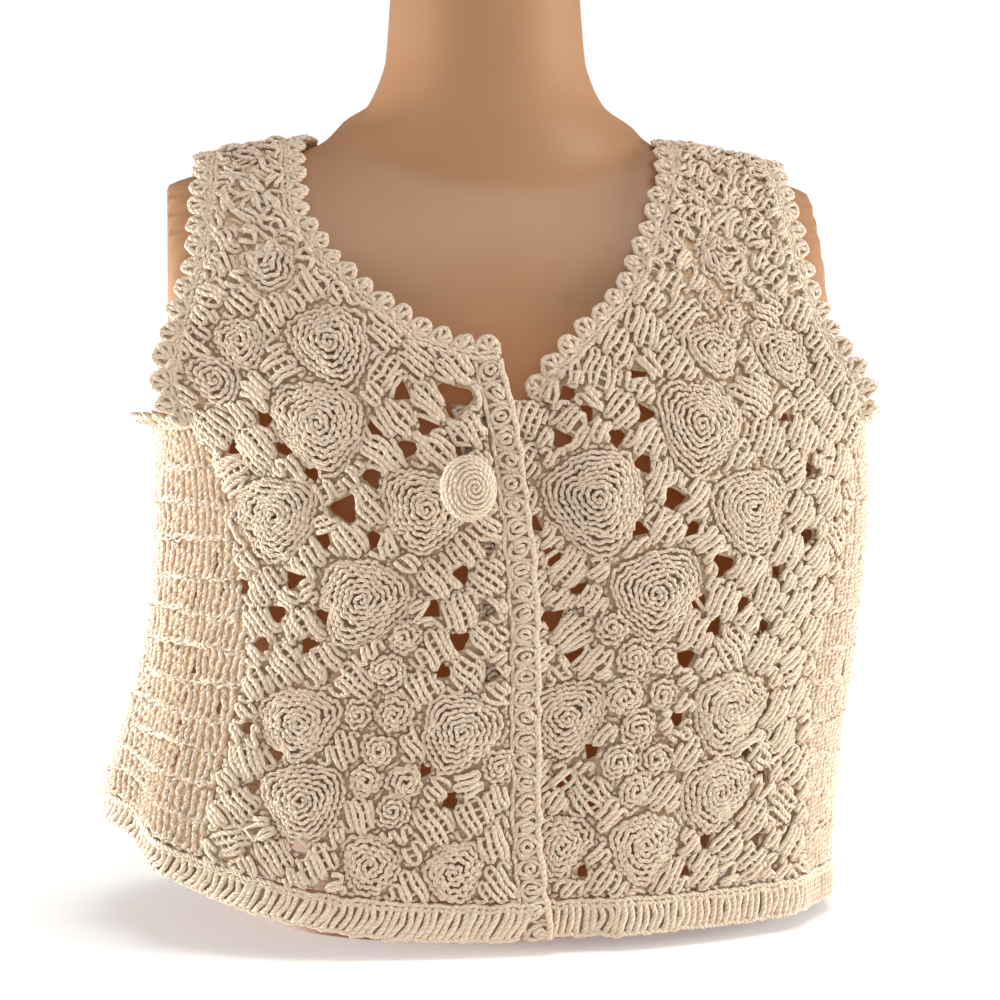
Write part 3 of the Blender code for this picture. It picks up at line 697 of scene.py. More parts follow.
def make_form_material():
    """Moulded display plastic, sprayed matt tan: even colour, very fine orange peel, soft gloss.
    Below the neckline it glows a little redder, as the light between it and the cloth does, and
    near the hem it is darker, where it stands in the cloth's shade."""
    material, tree, shader = start_material("sprayed_tan_plastic", "#AB7D58", 0.5)
    place = add(tree, "TexCoord")
    # Clouds of colour some 110 mm across, and peel some 1 mm across.
    cloud, peel = (add(tree, "TexNoise", inputs={"Scale": scale, "Detail": detail},
                       links={"Vector": place.outputs["Object"]})
                   for scale, detail in ((9.0, 3.0), (900.0, 1.0)))
    colour = add(tree, "Mix", {"data_type": "RGBA"},
                 {6: linear("#A0724E"), 7: linear("#A97F5A")}, {"Factor": cloud.outputs["Fac"]})
    parts = add(tree, "SeparateXYZ", links={0: place.outputs["Object"]})
    # The heights in metres between which the shade and the glow come in, and how strong they get.
    low, covered = (add(tree, "MapRange",
                        inputs={"From Min": start, "From Max": full, "To Max": most},
                        links={"Value": parts.outputs["Z"]})
                    for start, full, most in ((0.13, 0.05, 0.75), (0.345, 0.32, 0.7)))
    shaded = add(tree, "Mix", {"data_type": "RGBA"}, {7: linear("#4E2A16")},
                 {"Factor": low.outputs["Result"], 6: colour.outputs[2]})
    shader.inputs["Emission Color"].default_value = linear("#5C2C0C")
    tree.links.new(covered.outputs["Result"], shader.inputs["Emission Strength"])
    bump = add(tree, "Bump", inputs={"Strength": 0.12, "Distance": 0.0002},
               links={"Height": peel.outputs["Fac"]})
    colour_and_bump(tree, shader, shaded, bump)
    return material


cotton = make_yarn_material()
shade_painted_ground_cotton = make_ground_material()
plastic = make_form_material()


# ---- the chart
def seen(points):
    """Columns and rows at which the eye sees these points."""
    x, y, z = points[..., 0], points[..., 1], points[..., 2]
    sideways = x * math.cos(EYE_TURN) + y * math.sin(EYE_TURN)
    away = EYE_DISTANCE - x * math.sin(EYE_TURN) + y * math.cos(EYE_TURN)
    scale = EYE_DISTANCE / away / STITCH
    return np.stack([sideways * scale, (EYE_HEIGHT - z) * scale], -1)


def charted(side, entries):
    """Turns charted (column, row, radius) into (across, up, radius) on that front."""
    across = np.arange(-215.0, 60.0, 1.5) if side < 0 else np.arange(-60.0, 215.0, 1.5)
    a, b = plane(across, np.arange(0.0, cloth.top, 1.5))
    point, _ = front_cloth(side)(a, b, np.full(a.shape, WALL / 2))
    view = seen(point)
    nearest = [np.argmin(np.sum((view - entry[:2]) ** 2, 1)) for entry in entries]
    return np.stack([a[nearest], b[nearest], [entry[2] for entry in entries]], 1)


# ---- motifs
def outline(angle, pointed, down):
    """A rosette's edge as a share of its radius: a soft triangle, one corner down."""
    return 1 + pointed * np.cos(3 * (angle - down)) + 0.25 * pointed * np.cos(6 * (angle - down))


def rosette(yarn, site, rng, dome):
    """A spiral r = pitch t / 2 pi made of slanting stitches: along each stitch the run drifts
    outwards and rises, then drops back under the next one."""
    a0, b0, size, pointed, down = site
    pitch = ROUND * yarn.grain
    turns = (size - 1.0) / pitch
    t = np.linspace(0.25, turns, int(turns * 90)) * 2 * math.pi
    r = pitch * t / (2 * math.pi)
    q = r / size
    start = rng.uniform(0, 2 * math.pi)
    way = rng.choice([-1, 1])
    angle = t * way + start
    edge = 1 + (outline(angle, pointed, down) - 1) * q**0.7
    length = np.concatenate([[0], np.cumsum(np.hypot(np.diff(r), r[1:] * np.diff(t)))])
    slow = np.sin(length / 3.1 + start) + np.sin(length / 4.7)
    stitch = (length / STITCH_LENGTH + 0.12 * slow) % 1
    drift = np.where(stitch < 0.72, stitch / 0.72, (1 - stitch) / 0.28) - 0.5
    r = r * edge + (0.7 + 0.8 * q) * drift * 1.4 + 0.22 * slow
    lift = REST + 0.2 + dome * (1 - q**2.2) + 1.0 * drift
    yarn.lay(a0 + r * np.cos(angle), b0 + r * np.sin(angle), lift, rng.uniform(2.45, 2.75),
             step=1.5 * yarn.grain**3)


def axes(angle):
    """Unit steps along a block's runs and across them."""
    along = np.array([math.cos(angle), math.sin(angle)])
    return along, np.array([-along[1], along[0]])


def serpentine(yarn, centre, angle, spans, rng):
    """Parallel runs joined by round turns; spans gives (offset, low, high) for each run.  In
    front, short thin rungs lie across each pair of runs.  Both rise by
    dome (1 - (distance from the middle / BLOCK_ROUND)^2)."""
    along, beside = axes(angle)
    path = []
    tall = BLOCK_DOME * rng.uniform(0.8, 1.2)
    for n, (offset, low, high) in enumerate(spans):
        t = np.linspace(low, high, 5)
        wave = rng.uniform(-0.45, 0.45, 5) + 0.4 * math.sin(n * 2.1 + angle)
        end = -1 if n % 2 else 1
        path += [(s, offset + w, 0) for s, w in zip(t[::end], wave)]
        if n + 1 < len(spans):
            following = spans[n + 1]
            gap = following[0] - offset
            tip = (high + following[2]) / 2 if end > 0 else (low + following[1]) / 2
            path += [(tip + end * 1.5, offset + share * gap, 1) for share in (0.2, 0.8)]
    path = np.array(path)
    far = np.hypot(path[:, 0], path[:, 1]) / BLOCK_ROUND
    lift = REST - 0.2 + tall * np.clip(1 - far**2, 0, 1) - 0.6 * path[:, 2]
    place = centre + path[:, :1] * along + path[:, 1:2] * beside
    yarn.lay(*place.T, lift + rng.uniform(-0.2, 0.2), rng.uniform(2.7, 3.1), soften=2)
    if yarn.grain > 1:
        return
    for (low_at, low, high), (high_at, low_next, high_next) in zip(spans[:-1], spans[1:]):
        first, final = max(low, low_next) + 1.5, min(high, high_next) - 1.5
        if final - first < 3:
            continue
        t = np.array([low_at - 0.2, (low_at + high_at) / 2, high_at + 0.2])
        for s in np.linspace(first, final, max(2, int((final - first) / 3.0))):
            spot = centre + s * along + t[:, None] * beside
            hump = np.clip(1 - (np.hypot(s, t[1]) / BLOCK_ROUND) ** 2, 0, 1)
            yarn.lay(*spot.T, REST - 0.25 + tall * hump + np.array([-0.7, -0.1, -0.7]), 1.8)


def beyond(spots, sites):
    """How far each spot is outside each site, whose edge may be a soft triangle."""
    away = spots[..., None, :] - sites[:, :2]
    edge = sites[:, 2] * outline(np.arctan2(away[..., 1], away[..., 0]), sites[:, 3], sites[:, 4])
    return np.hypot(away[..., 0], away[..., 1]) - edge


def fill(reach, box, fixed):
    """Block centres that fill what the rosettes leave: each new one goes where there is most room,
    then all are moved to the middle of the ground that is nearest to them."""
    a, b = plane(*(np.arange(low, high, 2.5) for low, high in zip(*box)))
    edge = reach(a, b)
    spots = np.stack([a, b], -1)[edge > 0]
    edge = edge[edge > 0]
    gap = beyond(spots, fixed).min(1)
    outside = gap > 0
    blocks = []
    for size, least in ((10.0, 7.0), (6.0, 3.8)):
        while True:
            room = np.minimum(gap, edge + 1)
            best = int(np.argmax(room))
            if room[best] < least:
                break
            most = size * (1 - 0.3 * ease((spots[best][1] - 318) / 30))
            blocks.append((*spots[best], min(most, room[best] + 2.5), 0, 0))
            gap = np.minimum(gap, np.linalg.norm(spots - spots[best], axis=1) - blocks[-1][2])
    blocks = np.array(blocks)
    for _ in range(6):
        apart = beyond(spots, blocks)
        owner = np.where(outside & (np.min(apart, 1) < 7), np.argmin(apart, 1), -1)
        for n in range(len(blocks)):
            mine = owner == n
            if mine.sum() > 3:
                blocks[n, :2] = 0.4 * blocks[n, :2] + 0.6 * spots[mine].mean(0)
    return blocks


def block_spans(n, blocks, fixed, reach, angle, pitch):
    """For each run of block n, how far it may go before it meets a neighbour."""
    centre = blocks[n, :2]
    along, beside = axes(angle)
    across = np.arange(-BLOCK_REACH, BLOCK_REACH + 0.1, 0.75)
    t = np.arange(-BLOCK_REACH, BLOCK_REACH + 0.1, 0.5)
    spot = centre + t[None, :, None] * along + across[:, None, None] * beside
    own = np.linalg.norm(spot - centre, axis=-1) - blocks[n, 2]
    near = np.linalg.norm(blocks[:, :2] - centre, axis=1)
    others = blocks[(near < 50) & (near > 0.01)]
    free = reach(spot[..., 0], spot[..., 1]) > 1.2
    if len(others):
        free &= own + 0.5 < beyond(spot, others).min(-1)
    close = fixed[np.linalg.norm(fixed[:, :2] - centre, axis=1) < 60]
    free &= beyond(spot, close).min(-1, initial=99) > 0.7
    free &= np.hypot(t[None, :], across[:, None]) < BLOCK_REACH
    wide = np.flatnonzero(free.sum(1) > 5)
    if not len(wide):
        return []
    first, final = across[wide[0]] + 0.9, across[wide[-1]] - 0.9
    count = max(1, int(round((final - first) / pitch)) + 1)
    spans = []
    for offset in np.linspace(first, final, count) if count > 1 else [(first + final) / 2]:
        row = np.flatnonzero(free[int(round((offset + BLOCK_REACH) / 0.75))])
        if len(row) > 4:
            spans.append((offset, t[row[0]] + 1.1, t[row[-1]] - 1.1))
    return spans


def spread(mask):
    """A mask grown by one cell each way."""
    out = mask.copy()
    out[1:] |= mask[:-1]
    out[:-1] |= mask[1:]
    out[:, 1:] |= mask[:, :-1]
    out[:, :-1] |= mask[:, 1:]
    return out


def fill_gaps(yarn, reach, box, rng):
    """Short wavering runs where the ground is still bare, each laid along its gap.  The ground
    is a grid of 1 mm cells, and each run starts at the bare cell that has most room round it."""
    aa, bb = np.meshgrid(*(np.arange(low, high, 1.0) for low, high in zip(*box)))
    bare = reach(aa, bb) > 0.8
    for a, b, size in yarn.holes:
        bare &= np.hypot(aa - a, bb - b) > size + 0.8
    parts = np.arange(0, 1, 0.2)[:, None, None]
    laid = [(r[0][:-1] * (1 - parts) + r[0][1:] * parts).reshape(-1, 3) for r in yarn.runs]
    cells = np.round(np.concatenate(laid)[:, 1::-1] - box[0][::-1]).astype(int)
    covered = np.zeros(bare.shape, bool)
    covered[tuple(np.clip(cells, 0, np.array(bare.shape) - 1).T)] = True
    once = spread(covered)
    bare &= ~np.where(bb > 345, once, spread(once))
    room = np.zeros(bare.shape)
    left = bare.copy()
    for _ in range(5):
        room += left
        left = ~spread(~left)
    order = np.argsort(-(room + rng.uniform(0, 0.5, room.shape)).ravel())
    for spot in order[:int((room > 0).sum())]:
        r, c = divmod(int(spot), bare.shape[1])
        if not bare[r, c]:
            continue
        r0, c0 = max(r - 5, 0), max(c - 5, 0)
        open_r, open_c = np.nonzero(bare[r0:r + 6, c0:c + 6])
        near = np.stack([open_c + c0 - c, open_r + r0 - r], -1)
        way = np.linalg.eigh(near.T @ near + 0.01 * np.eye(2))[1][:, 1]
        ends = []
        for turn in (-1, 1):
            far = 0
            while far < 8:
                rr = int(round(r + way[1] * turn * (far + 1)))
                cc = int(round(c + way[0] * turn * (far + 1)))
                if not (0 <= rr < bare.shape[0] and 0 <= cc < bare.shape[1] and bare[rr, cc]):
                    break
                far += 1
            ends.append(turn * (far + 0.7))
        t = np.linspace(*ends, 6)
        side = 0.5 * np.sin(t * 1.3 + rng.uniform(0, 6))
        a = aa[r, c] + way[0] * t - way[1] * side
        b = bb[r, c] + way[1] * t + way[0] * side
        hump = np.sin(np.linspace(0, math.pi, 6))
        yarn.lay(a, b, REST - 0.9 + 1.1 * hump, rng.uniform(2.5, 2.9), step=3.0 * yarn.grain**2)
        around = slice(max(r - 10, 0), r + 11), slice(max(c - 10, 0), c + 11)
        da, db = aa[around] - aa[r, c], bb[around] - bb[r, c]
        beside, ahead = np.abs(db * way[0] - da * way[1]), da * way[0] + db * way[1]
        bare[around] &= ~((beside < 1.9) & (ahead > ends[0] - 1) & (ahead < ends[1] + 1))


def ragged(away, a, b):
    """The rim of the hole at (a, b) as a share of its radius: 1 + 0.26 cos(3 angle + turn), which
    is three soft corners, turned by the hole's place."""
    return 1 + 0.26 * np.cos(3 * np.arctan2(away[..., 1], away[..., 0]) + 1.7 * a + 2.3 * b)


def make_ground(name, place, ups, left, right, holes=(), skip=None, cell=3.0, raised=0.0):
    """A grid of cells between two edges; corners inside a hole are moved out to its rim."""
    columns = int(np.max(right - left) / cell) + 1
    share = np.linspace(0, 1, columns)
    across = left[:, None] * (1 - share) + right[:, None] * share
    up = np.broadcast_to(ups[:, None], across.shape).copy()
    inside = np.zeros(across.shape, bool)
    for a, b, size in holes:
        away = np.stack([across - a, up - b], -1)
        distance = np.linalg.norm(away, axis=-1)
        rim = (size + 2.2) * ragged(away, a, b)
        within = distance < rim
        inside |= within
        out = away[within] * (rim[within] / np.maximum(distance[within], 0.01))[:, None]
        across[within], up[within] = a + out[:, 0], b + out[:, 1]
    point, normal = place(across, up, GROUND_LIFT + raised + YOKE_LIFT * ease((up - 315) / 30))
    faces = grid_faces(len(ups), columns)
    keep = ~np.all(inside.ravel()[faces], 1)
    if skip is not None:
        keep &= ~skip(across.ravel()[faces].mean(1), up.ravel()[faces].mean(1))
    return shell(name, point, normal, faces[keep])


def finish_panel(name, node, ground, yarn):
    """Sweeps a panel's runs, hides the CAD node and returns the ground with the runs."""
    stitches = yarn.finish(name + "_stitches")
    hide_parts(node)
    return ground, stitches


def fill_panel(yarn, reach, box, rosettes, small, lean, rng):
    """Rosettes where they are charted, blocks of runs in what is left, and short runs between."""
    big = [(a, b, size, 0.11, -math.pi / 2 + rng.uniform(-0.35, 0.35)) for a, b, size in rosettes]
    little = [(a, b, size, 0.0, 0.0) for a, b, size in small]
    open_spots = [(a, b, size - 0.4, 0.12, rng.uniform(0, 6)) for a, b, size in yarn.holes]
    fixed = np.array(big + little + open_spots)
    blocks = fill(reach, box, fixed)
    for sites, dome in ((big, 0.19), (little, 0.3)):
        for site in sites:
            rosette(yarn, site, rng, dome * site[2])
    for n in range(len(blocks)):
        angle = lean + rng.uniform(-0.25, 0.25)
        if rng.uniform() < TURNED_BLOCKS:
            angle += math.pi / 2
        spans = block_spans(n, blocks, fixed, reach, angle, PITCH * yarn.grain)
        if spans:
            serpentine(yarn, blocks[n, :2], angle, spans, rng)
    fill_gaps(yarn, reach, box, rng)


# ---- fronts
def front_reach(side):
    """Distance from a front's edges, positive inside."""
    def reach(across, up):
        left, right = front_edges(side, up)
        sideways = np.minimum(across - left, right - across)
        sideways = np.where(up > UNDERARM, 0.85 * sideways, sideways)
        return np.minimum(sideways, np.minimum(up - HEM_DEPTH, cloth.top - up))
    return reach


def make_front(word):
    side = SIDES[word]
    place = front_cloth(side)
    rng = np.random.default_rng(40 + side)
    big, small, holes = (charted(side, chart[side]) for chart in (BIG, SMALL, HOLES))
    corner = NECKLINE[side][0][0]
    low = HEM_DEPTH + HEM_SEAM
    ups = np.concatenate([levels(low, corner, 2.9), levels(corner + 0.5, TOP, 2.9)])
    left, right = front_edges(side, ups)
    ground = make_ground(f"front_{word}_ground", place, ups, left, right, holes, cell=2.9)
    yarn = Yarn(place, 2.5, holes)
    first, last = (-205, 45) if side < 0 else (-45, 205)
    box = (first, HEM_DEPTH), (last, cloth.top)
    fill_panel(yarn, front_reach(side), box, big, small, 0.9 * side, rng)
    return finish_panel(f"front_{word}", f"front_{word}", ground, yarn)


def make_band(word):
    """Blocks of two loops, one in the other, with a cross run above each, a rope along the opening
    and a plain run along the inner edge."""
    side = SIDES[word]
    place = front_cloth(side)
    rng = np.random.default_rng(60 + side)
    top = NECKLINE[side][0][0]
    ups = levels(0, top, 3)
    shift = BAND_WIDTH if side < 0 else LAP
    left = table(OPENING, ups) - shift
    ground = make_ground(f"band_{word}_ground", place, ups, left, left + BAND_WIDTH)
    yarn = Yarn(place, 2.1)
    for up in np.arange(5.5, top - 3, BAND_BLOCK):
        middle = table(OPENING, up) - shift + BAND_WIDTH / 2 - 0.2 * side
        t = np.linspace(0, 2 * math.pi, 13) + rng.uniform(0, 6)
        tilt = rng.uniform(-0.3, 0.3)
        for wide, tall, high, thick in ((5.5, 4.4, 0.8, 2.7), (2.7, 1.8, 2.0, 2.5)):
            wobble = 1 + 0.08 * np.sin(2 * t + rng.uniform(0, 6))
            x, y = wide * wobble * np.cos(t), tall * wobble * np.sin(t)
            yarn.lay(middle + x, up + y + tilt * x, REST + high + 0.5 * np.cos(2 * t + tilt * 9),
                     thick * rng.uniform(0.93, 1.06), soften=1)
        s = np.linspace(-6.2, 6.2, 6)
        yarn.lay(middle + s, up + BAND_BLOCK / 2 + 0.5 * np.sin(s + up),
                 REST + 0.1 + 0.5 * np.cos(s * 1.6), 2.5)
    up = np.arange(1.5, top - 1.0, 1.6)
    edge = table(OPENING, up) - (0 if side < 0 else LAP)
    rope, plain = 1.3 + 0.45 * np.sin(up / 1.8), BAND_WIDTH - 1.3 + 0.3 * np.sin(up / 1.7)
    yarn.lay(edge + side * rope, up,
             REST + 0.9 + 0.5 * np.sin(up / 1.8 + 1) + 0.4 * np.sin(up / 5), 3.4)
    yarn.lay(edge + side * plain, up, REST + 0.2 * np.cos(up))
    return finish_panel(f"band_{word}", f"front_band_{word}", ground, yarn)


# ---- sides
def make_side(word):
    """Rows of tall wavering posts between chains, with slits in the ground between some posts."""
    side = SIDES[word]
    place = on_cloth(cloth.around)
    rng = np.random.default_rng(80 + side)
    low = HEM_DEPTH + HEM_SEAM
    ups = levels(low, UNDERARM, 3)
    seam = table(SIDE_SEAM[side], ups) + SEAM
    other = cloth.half(side, ups) - seam
    left, right = (seam, other) if side > 0 else (-other, -seam)
    rows = int(round((UNDERARM - low) / ROW))
    lines = np.linspace(low + 1.5, UNDERARM - 1.5, rows + 1)
    slits = []
    yarn = Yarn(place, 2.7, sides=4)
    for n, (b0, b1) in enumerate(zip(lines[:-1], lines[1:])):
        half_way = (b0 + b1) / 2
        a0, a1 = np.interp(half_way, ups, left) + 2, np.interp(half_way, ups, right) - 2
        count = int((a1 - a0) / POST)
        b = np.linspace(b0 + 0.4, b1 - 0.4, 11)
        share = (b - b0) / (b1 - b0)
        for i, a in enumerate(np.linspace(a0, a1, count)):
            wave = 0.85 * np.sin(b / 1.15 + i * 1.9 + n) + rng.uniform(-0.5, 0.5)
            lift = REST + 0.2 + 0.6 * (2 * share - 1) ** 2 + 0.5 * np.cos(b / 1.2 + i)
            yarn.lay(a + wave + 1.2 * np.sin(n + a / 31) * share,
                     b + 1.6 * np.sin(a / 17 + 2.1 * n), lift, rng.uniform(2.8, 3.6), step=2.5)
            if rng.uniform() < SLITS and n > 1 and 1 < i < count - 2:
                slits.append((a + POST / 2, half_way + rng.uniform(-3, 3), rng.uniform(3, 6)))
    for n, b in enumerate(lines):
        a = np.arange(np.interp(b, ups, left) + 1, np.interp(b, ups, right) - 1, 1.5)
        stretch = 1.6 * np.sin(a / 17 + 2.1 * n) * (0 < n < rows)
        for shift in (0, 1):
            wave = math.pi * a / POST + shift * math.pi / 2
            yarn.lay(a, b + stretch + (1.0 if shift else -1.0) + 1.1 * np.sin(wave),
                     REST + 0.2 + 0.6 * np.cos(wave) + 0.4 * np.sin(a / 9), rng.uniform(2.1, 2.5))
    slit_a, slit_b, slit_half = np.array(slits).T

    def in_slit(a, b):
        beside, along = np.abs(a[:, None] - slit_a), np.abs(b[:, None] - slit_b)
        return np.any((beside < 1.5) & (along < slit_half), 1)

    ground = make_ground(f"side_{word}_ground", place, ups, left, right, skip=in_slit, raised=0.8)
    return finish_panel(f"side_{word}", f"side_{word}", ground, yarn)


# ---- back
def back_reach(across, up):
    """Distance from the back's edges, positive inside."""
    sideways = np.where(across > 0, outer_edge(-1, up), outer_edge(1, up)) - np.abs(across)
    low, half = NECK_BACK[0]
    beside_neck = np.abs(across) - table(NECK_BACK, up)
    dip = low - BACK_NECK_DIP * np.clip(1 - (across / half) ** 2, 0, 1)
    under_neck = np.where(np.abs(across) < half, dip - up, 99.0)
    inner = np.where(up > low, np.where(beside_neck < 0, -1.0, 0.8 * beside_neck), under_neck)
    return np.minimum(np.minimum(sideways, inner), np.minimum(up - HEM_DEPTH, cloth.top - up))


def make_back():
    place = on_cloth(cloth.back)
    rng = np.random.default_rng(100)
    dip = NECK_BACK[0][0] - BACK_NECK_DIP
    ups = np.concatenate([levels(HEM_DEPTH + HEM_SEAM, dip, 4.4), levels(dip + 2, TOP, 2.2)])

    def in_neck(a, b):
        return back_reach(a, np.maximum(b, HEM_DEPTH + 5)) < 0

    ground = make_ground("back_ground", place, ups, -outer_edge(1, ups), outer_edge(-1, ups),
                         skip=in_neck, cell=4.2)
    yarn = Yarn(place, 3.4, sides=4, grain=1.15)
    box = (-205, HEM_DEPTH), (205, cloth.top)
    fill_panel(yarn, back_reach, box, BACK_BIG, BACK_SMALL, 0.8, rng)
    return finish_panel("back", "back", ground, yarn)


# ---- hem
def make_hem():
    """Leaning arcs side by side between two chains at the top and a smooth rim below."""
    def sink(across, up):
        on_left_front = (across > inner_edge(1, up) - 1) & (across < 110)
        return np.where(on_left_front, lap_sink(across, up), 0)

    place = on_cloth(cloth.around, sink)
    rng = np.random.default_rng(7)
    start, end = (inner_edge(side, np.array([10.0]))[0] for side in (1, -1))
    end = end + sum(cloth.half(side, 0.0) for side in (-1, 1))
    yarn = Yarn(place, 2.7)
    b = np.array([19.4, 15, 10, 5, 2.2])
    for i, at in enumerate(np.arange(start + 2, end - 2, HEM_STITCH)):
        lean = 2.2 * np.sin((19.4 - b) / 17 * math.pi) + rng.uniform(-0.4, 0.4)
        lean = lean + np.array([0, 0.6, -0.6, 0.6, 0]) * math.sin(i * 1.7)
        yarn.lay(at + lean, b, REST + np.array([0.2, 1.1, 0.9, 1.5, 0.2]), rng.uniform(3.3, 4.0),
                 soften=1)
    a = np.arange(start + 0.5, end - 0.5, 1.3)
    wave = 2 * math.pi * a / HEM_STITCH
    # height of the run, how far it waves and from where, its lift and from where, its thickness
    chains = (1.6, 0.5, 0, 0.6, 0, 3.2), (19.6, 0.6, 1, 1.1, 0, YARN), (17.0, 0.6, 3, 0.9, 2, YARN)
    for up, tall, late, lift, turn, thick in chains:
        yarn.lay(a, up + tall * np.sin(wave + late), REST + lift + 0.4 * np.cos(wave + turn), thick)
    ups = levels(0.0, HEM_DEPTH, 3)
    ground = make_ground("hem_ground", place, ups, *(np.full(len(ups), v) for v in (start, end)))
    return finish_panel("hem", "hem_band", ground, yarn)


# ---- scalloped edgings
class Edge:
    """A cut edge: along it by length, and out from it in the cloth's own surface."""

    def __init__(self, paths, flare=None, closed=False):
        point, normal = (np.concatenate([p[i] for p in paths]) for i in range(2))
        if closed:
            point, normal = (np.concatenate([v, v[:1]]) for v in (point, normal))
        ahead = unit(np.diff(point, axis=0))
        along = np.concatenate([ahead[:1], ahead[:-1] + ahead[1:], ahead[-1:]])
        if closed:
            along[0] = along[-1] = ahead[0] + ahead[-1]
        step = unit(np.cross(unit(along), normal))
        if np.sum(step * (point.mean(0) - point)) < 0:
            step = -step
        run = lengths_along(point)
        at = np.linspace(0, run[-1], int(run[-1] / 3))

        def even(v, soft):
            w = read_along(at, run, v)
            if not soft:
                return w
            w = np.pad(w, ((4, 4), (0, 0)), mode="wrap" if closed else "edge")
            return np.stack([np.convolve(w[:, i], bell(4, 2.0), "valid") for i in range(3)], -1)

        self.point = even(point, False)
        self.step, self.normal = unit(even(step, True)), unit(even(normal, True))
        lean = flare(self.point)[:, None] if flare else 0.0
        self.out = self.step * np.cos(lean) + self.normal * np.sin(lean)
        self.face = self.normal * np.cos(lean) - self.step * np.sin(lean)
        self.at = at
        self.length = run[-1]
        self.turned = np.sum(np.cross(np.gradient(self.point, axis=0), self.step) * self.normal) < 0

    def place(self, along, out, lift):
        point, outward, face = (read_along(along, self.at, v)
                                for v in (self.point, self.out, self.face))
        face = unit(face)
        return point + outward * out[..., None] + face * lift[..., None], face


def cut_edge(where, ups, acrosses, sink=None):
    return on_cloth(where, sink)(acrosses, ups, np.zeros(np.shape(acrosses)))


def scallops(name, edge, width, rng):
    """Each scallop is an arc of yarn standing on the edge, with four short spokes inside it; two
    chains run along the edge, and a scalloped strip of ground fills in behind."""
    lobes = int(round(edge.length / SCALLOP))
    pitch = edge.length / lobes
    wide = pitch / 2 - 0.6
    bend = np.linspace(-1.62, 1.62, 13)
    s = np.array([0.1, 0.4, 0.75, 1.0])
    yarn = Yarn(edge.place, 2.0)
    for n in range(lobes):
        middle = (n + 0.5) * pitch
        tall = width - 2.6 + rng.uniform(-0.8, 0.8)
        waver = 1 + 0.05 * np.sin(bend * 7 + rng.uniform(0, 6))
        yarn.lay(middle + wide * np.sin(bend) * waver, 1.6 + tall * np.cos(bend) * waver,
                 0.4 + 0.7 * np.cos(bend) + 0.4 * np.sin(bend * 7), 3.2 * rng.uniform(0.92, 1.08),
                 soften=1)
        for k, angle in enumerate(np.linspace(-1.2, 1.2, 4) + rng.uniform(-0.15, 0.15, 4)):
            yarn.lay(middle + wide * s * math.sin(angle) + 0.6 * np.sin(s * 3 + k),
                     1.4 + tall * s * math.cos(angle),
                     np.array([0.6, 1.7, 1.9, 1.2]) + 0.3 * (k % 2), rng.uniform(2.7, 3.1))
    a = np.arange(1.0, edge.length - 1.0, 1.5)
    for out, sway, loop, lift, thick in ((-1.2, 0.5, 4.6, 1.6, 3.2), (1.4, 0.6, 4.2, 1.5, YARN)):
        wave = a * 2 * math.pi / loop
        yarn.lay(a, out + sway * np.sin(wave), lift + 0.4 * np.cos(wave), thick)
    a = np.linspace(0, edge.length, lobes * 6 + 1)
    rim = width * (0.55 + 0.33 * np.abs(np.sin(math.pi * a / edge.length * lobes)) ** 0.7)
    out = 0.2 + rim[:, None] * np.linspace(0, 1, 4)
    point, face = edge.place(np.broadcast_to(a[:, None], out.shape), out, np.full(out.shape, 0.1))
    faces = grid_faces(len(a), 4)[:, TURN_OVER]
    if edge.turned:
        faces = faces[:, ::-1]
    return finish_panel(name, name, shell(name + "_ground", point, face, faces), yarn)


def make_neck_edging():
    corner = NECKLINE[-1][0][0]
    ups = np.concatenate([[corner], levels(corner + 1, TOP, 6)])
    across = np.concatenate([[table(OPENING, corner)], inner_edge(-1, ups[1:])])
    right = cut_edge(cloth.around, ups, across)
    low = NECK_BACK[0][0]
    down = levels(low, TOP, 6)
    half = table(NECK_BACK, down)
    middle = np.linspace(half[0], -half[0], 14)[1:-1]
    dipped = low - BACK_NECK_DIP * (1 - (middle / half[0]) ** 2)
    back = cut_edge(cloth.back, np.concatenate([down[::-1], dipped, down]),
                    np.concatenate([half[::-1], middle, -half]))
    corner = NECKLINE[1][0][0]
    ups = np.concatenate([[corner], levels(corner + 1, TOP, 6)])[::-1]
    left = cut_edge(cloth.around, ups, inner_edge(1, ups + 0.01), lap_sink)
    return scallops("neck_edging", Edge((right, back, left)), NECK_EDGE, np.random.default_rng(11))


def underarm_lean(point):
    """The armhole scallops lean outwards more and more towards the underarm."""
    return LEAN * (1 - ease((point[:, 2] - LEAN_FROM) / LEAN_OVER))


def make_armhole_edging(word):
    side = SIDES[word]
    ups = levels(UNDERARM, TOP, 6)
    outer = side * outer_edge(side, ups + 0.01)
    start = SIDE_SEAM[side][-1][1]
    under = side * np.linspace(start, cloth.half(side, UNDERARM) - start, 10)[1:-1]
    edge = Edge((cut_edge(cloth.around, ups[::-1], outer[::-1]),
                 cut_edge(cloth.around, np.full(8, float(UNDERARM)), under),
                 cut_edge(cloth.back, ups, -outer)), underarm_lean, closed=True)
    return scallops(f"armhole_edging_{word}", edge, ARM_EDGE, np.random.default_rng(20 + side))


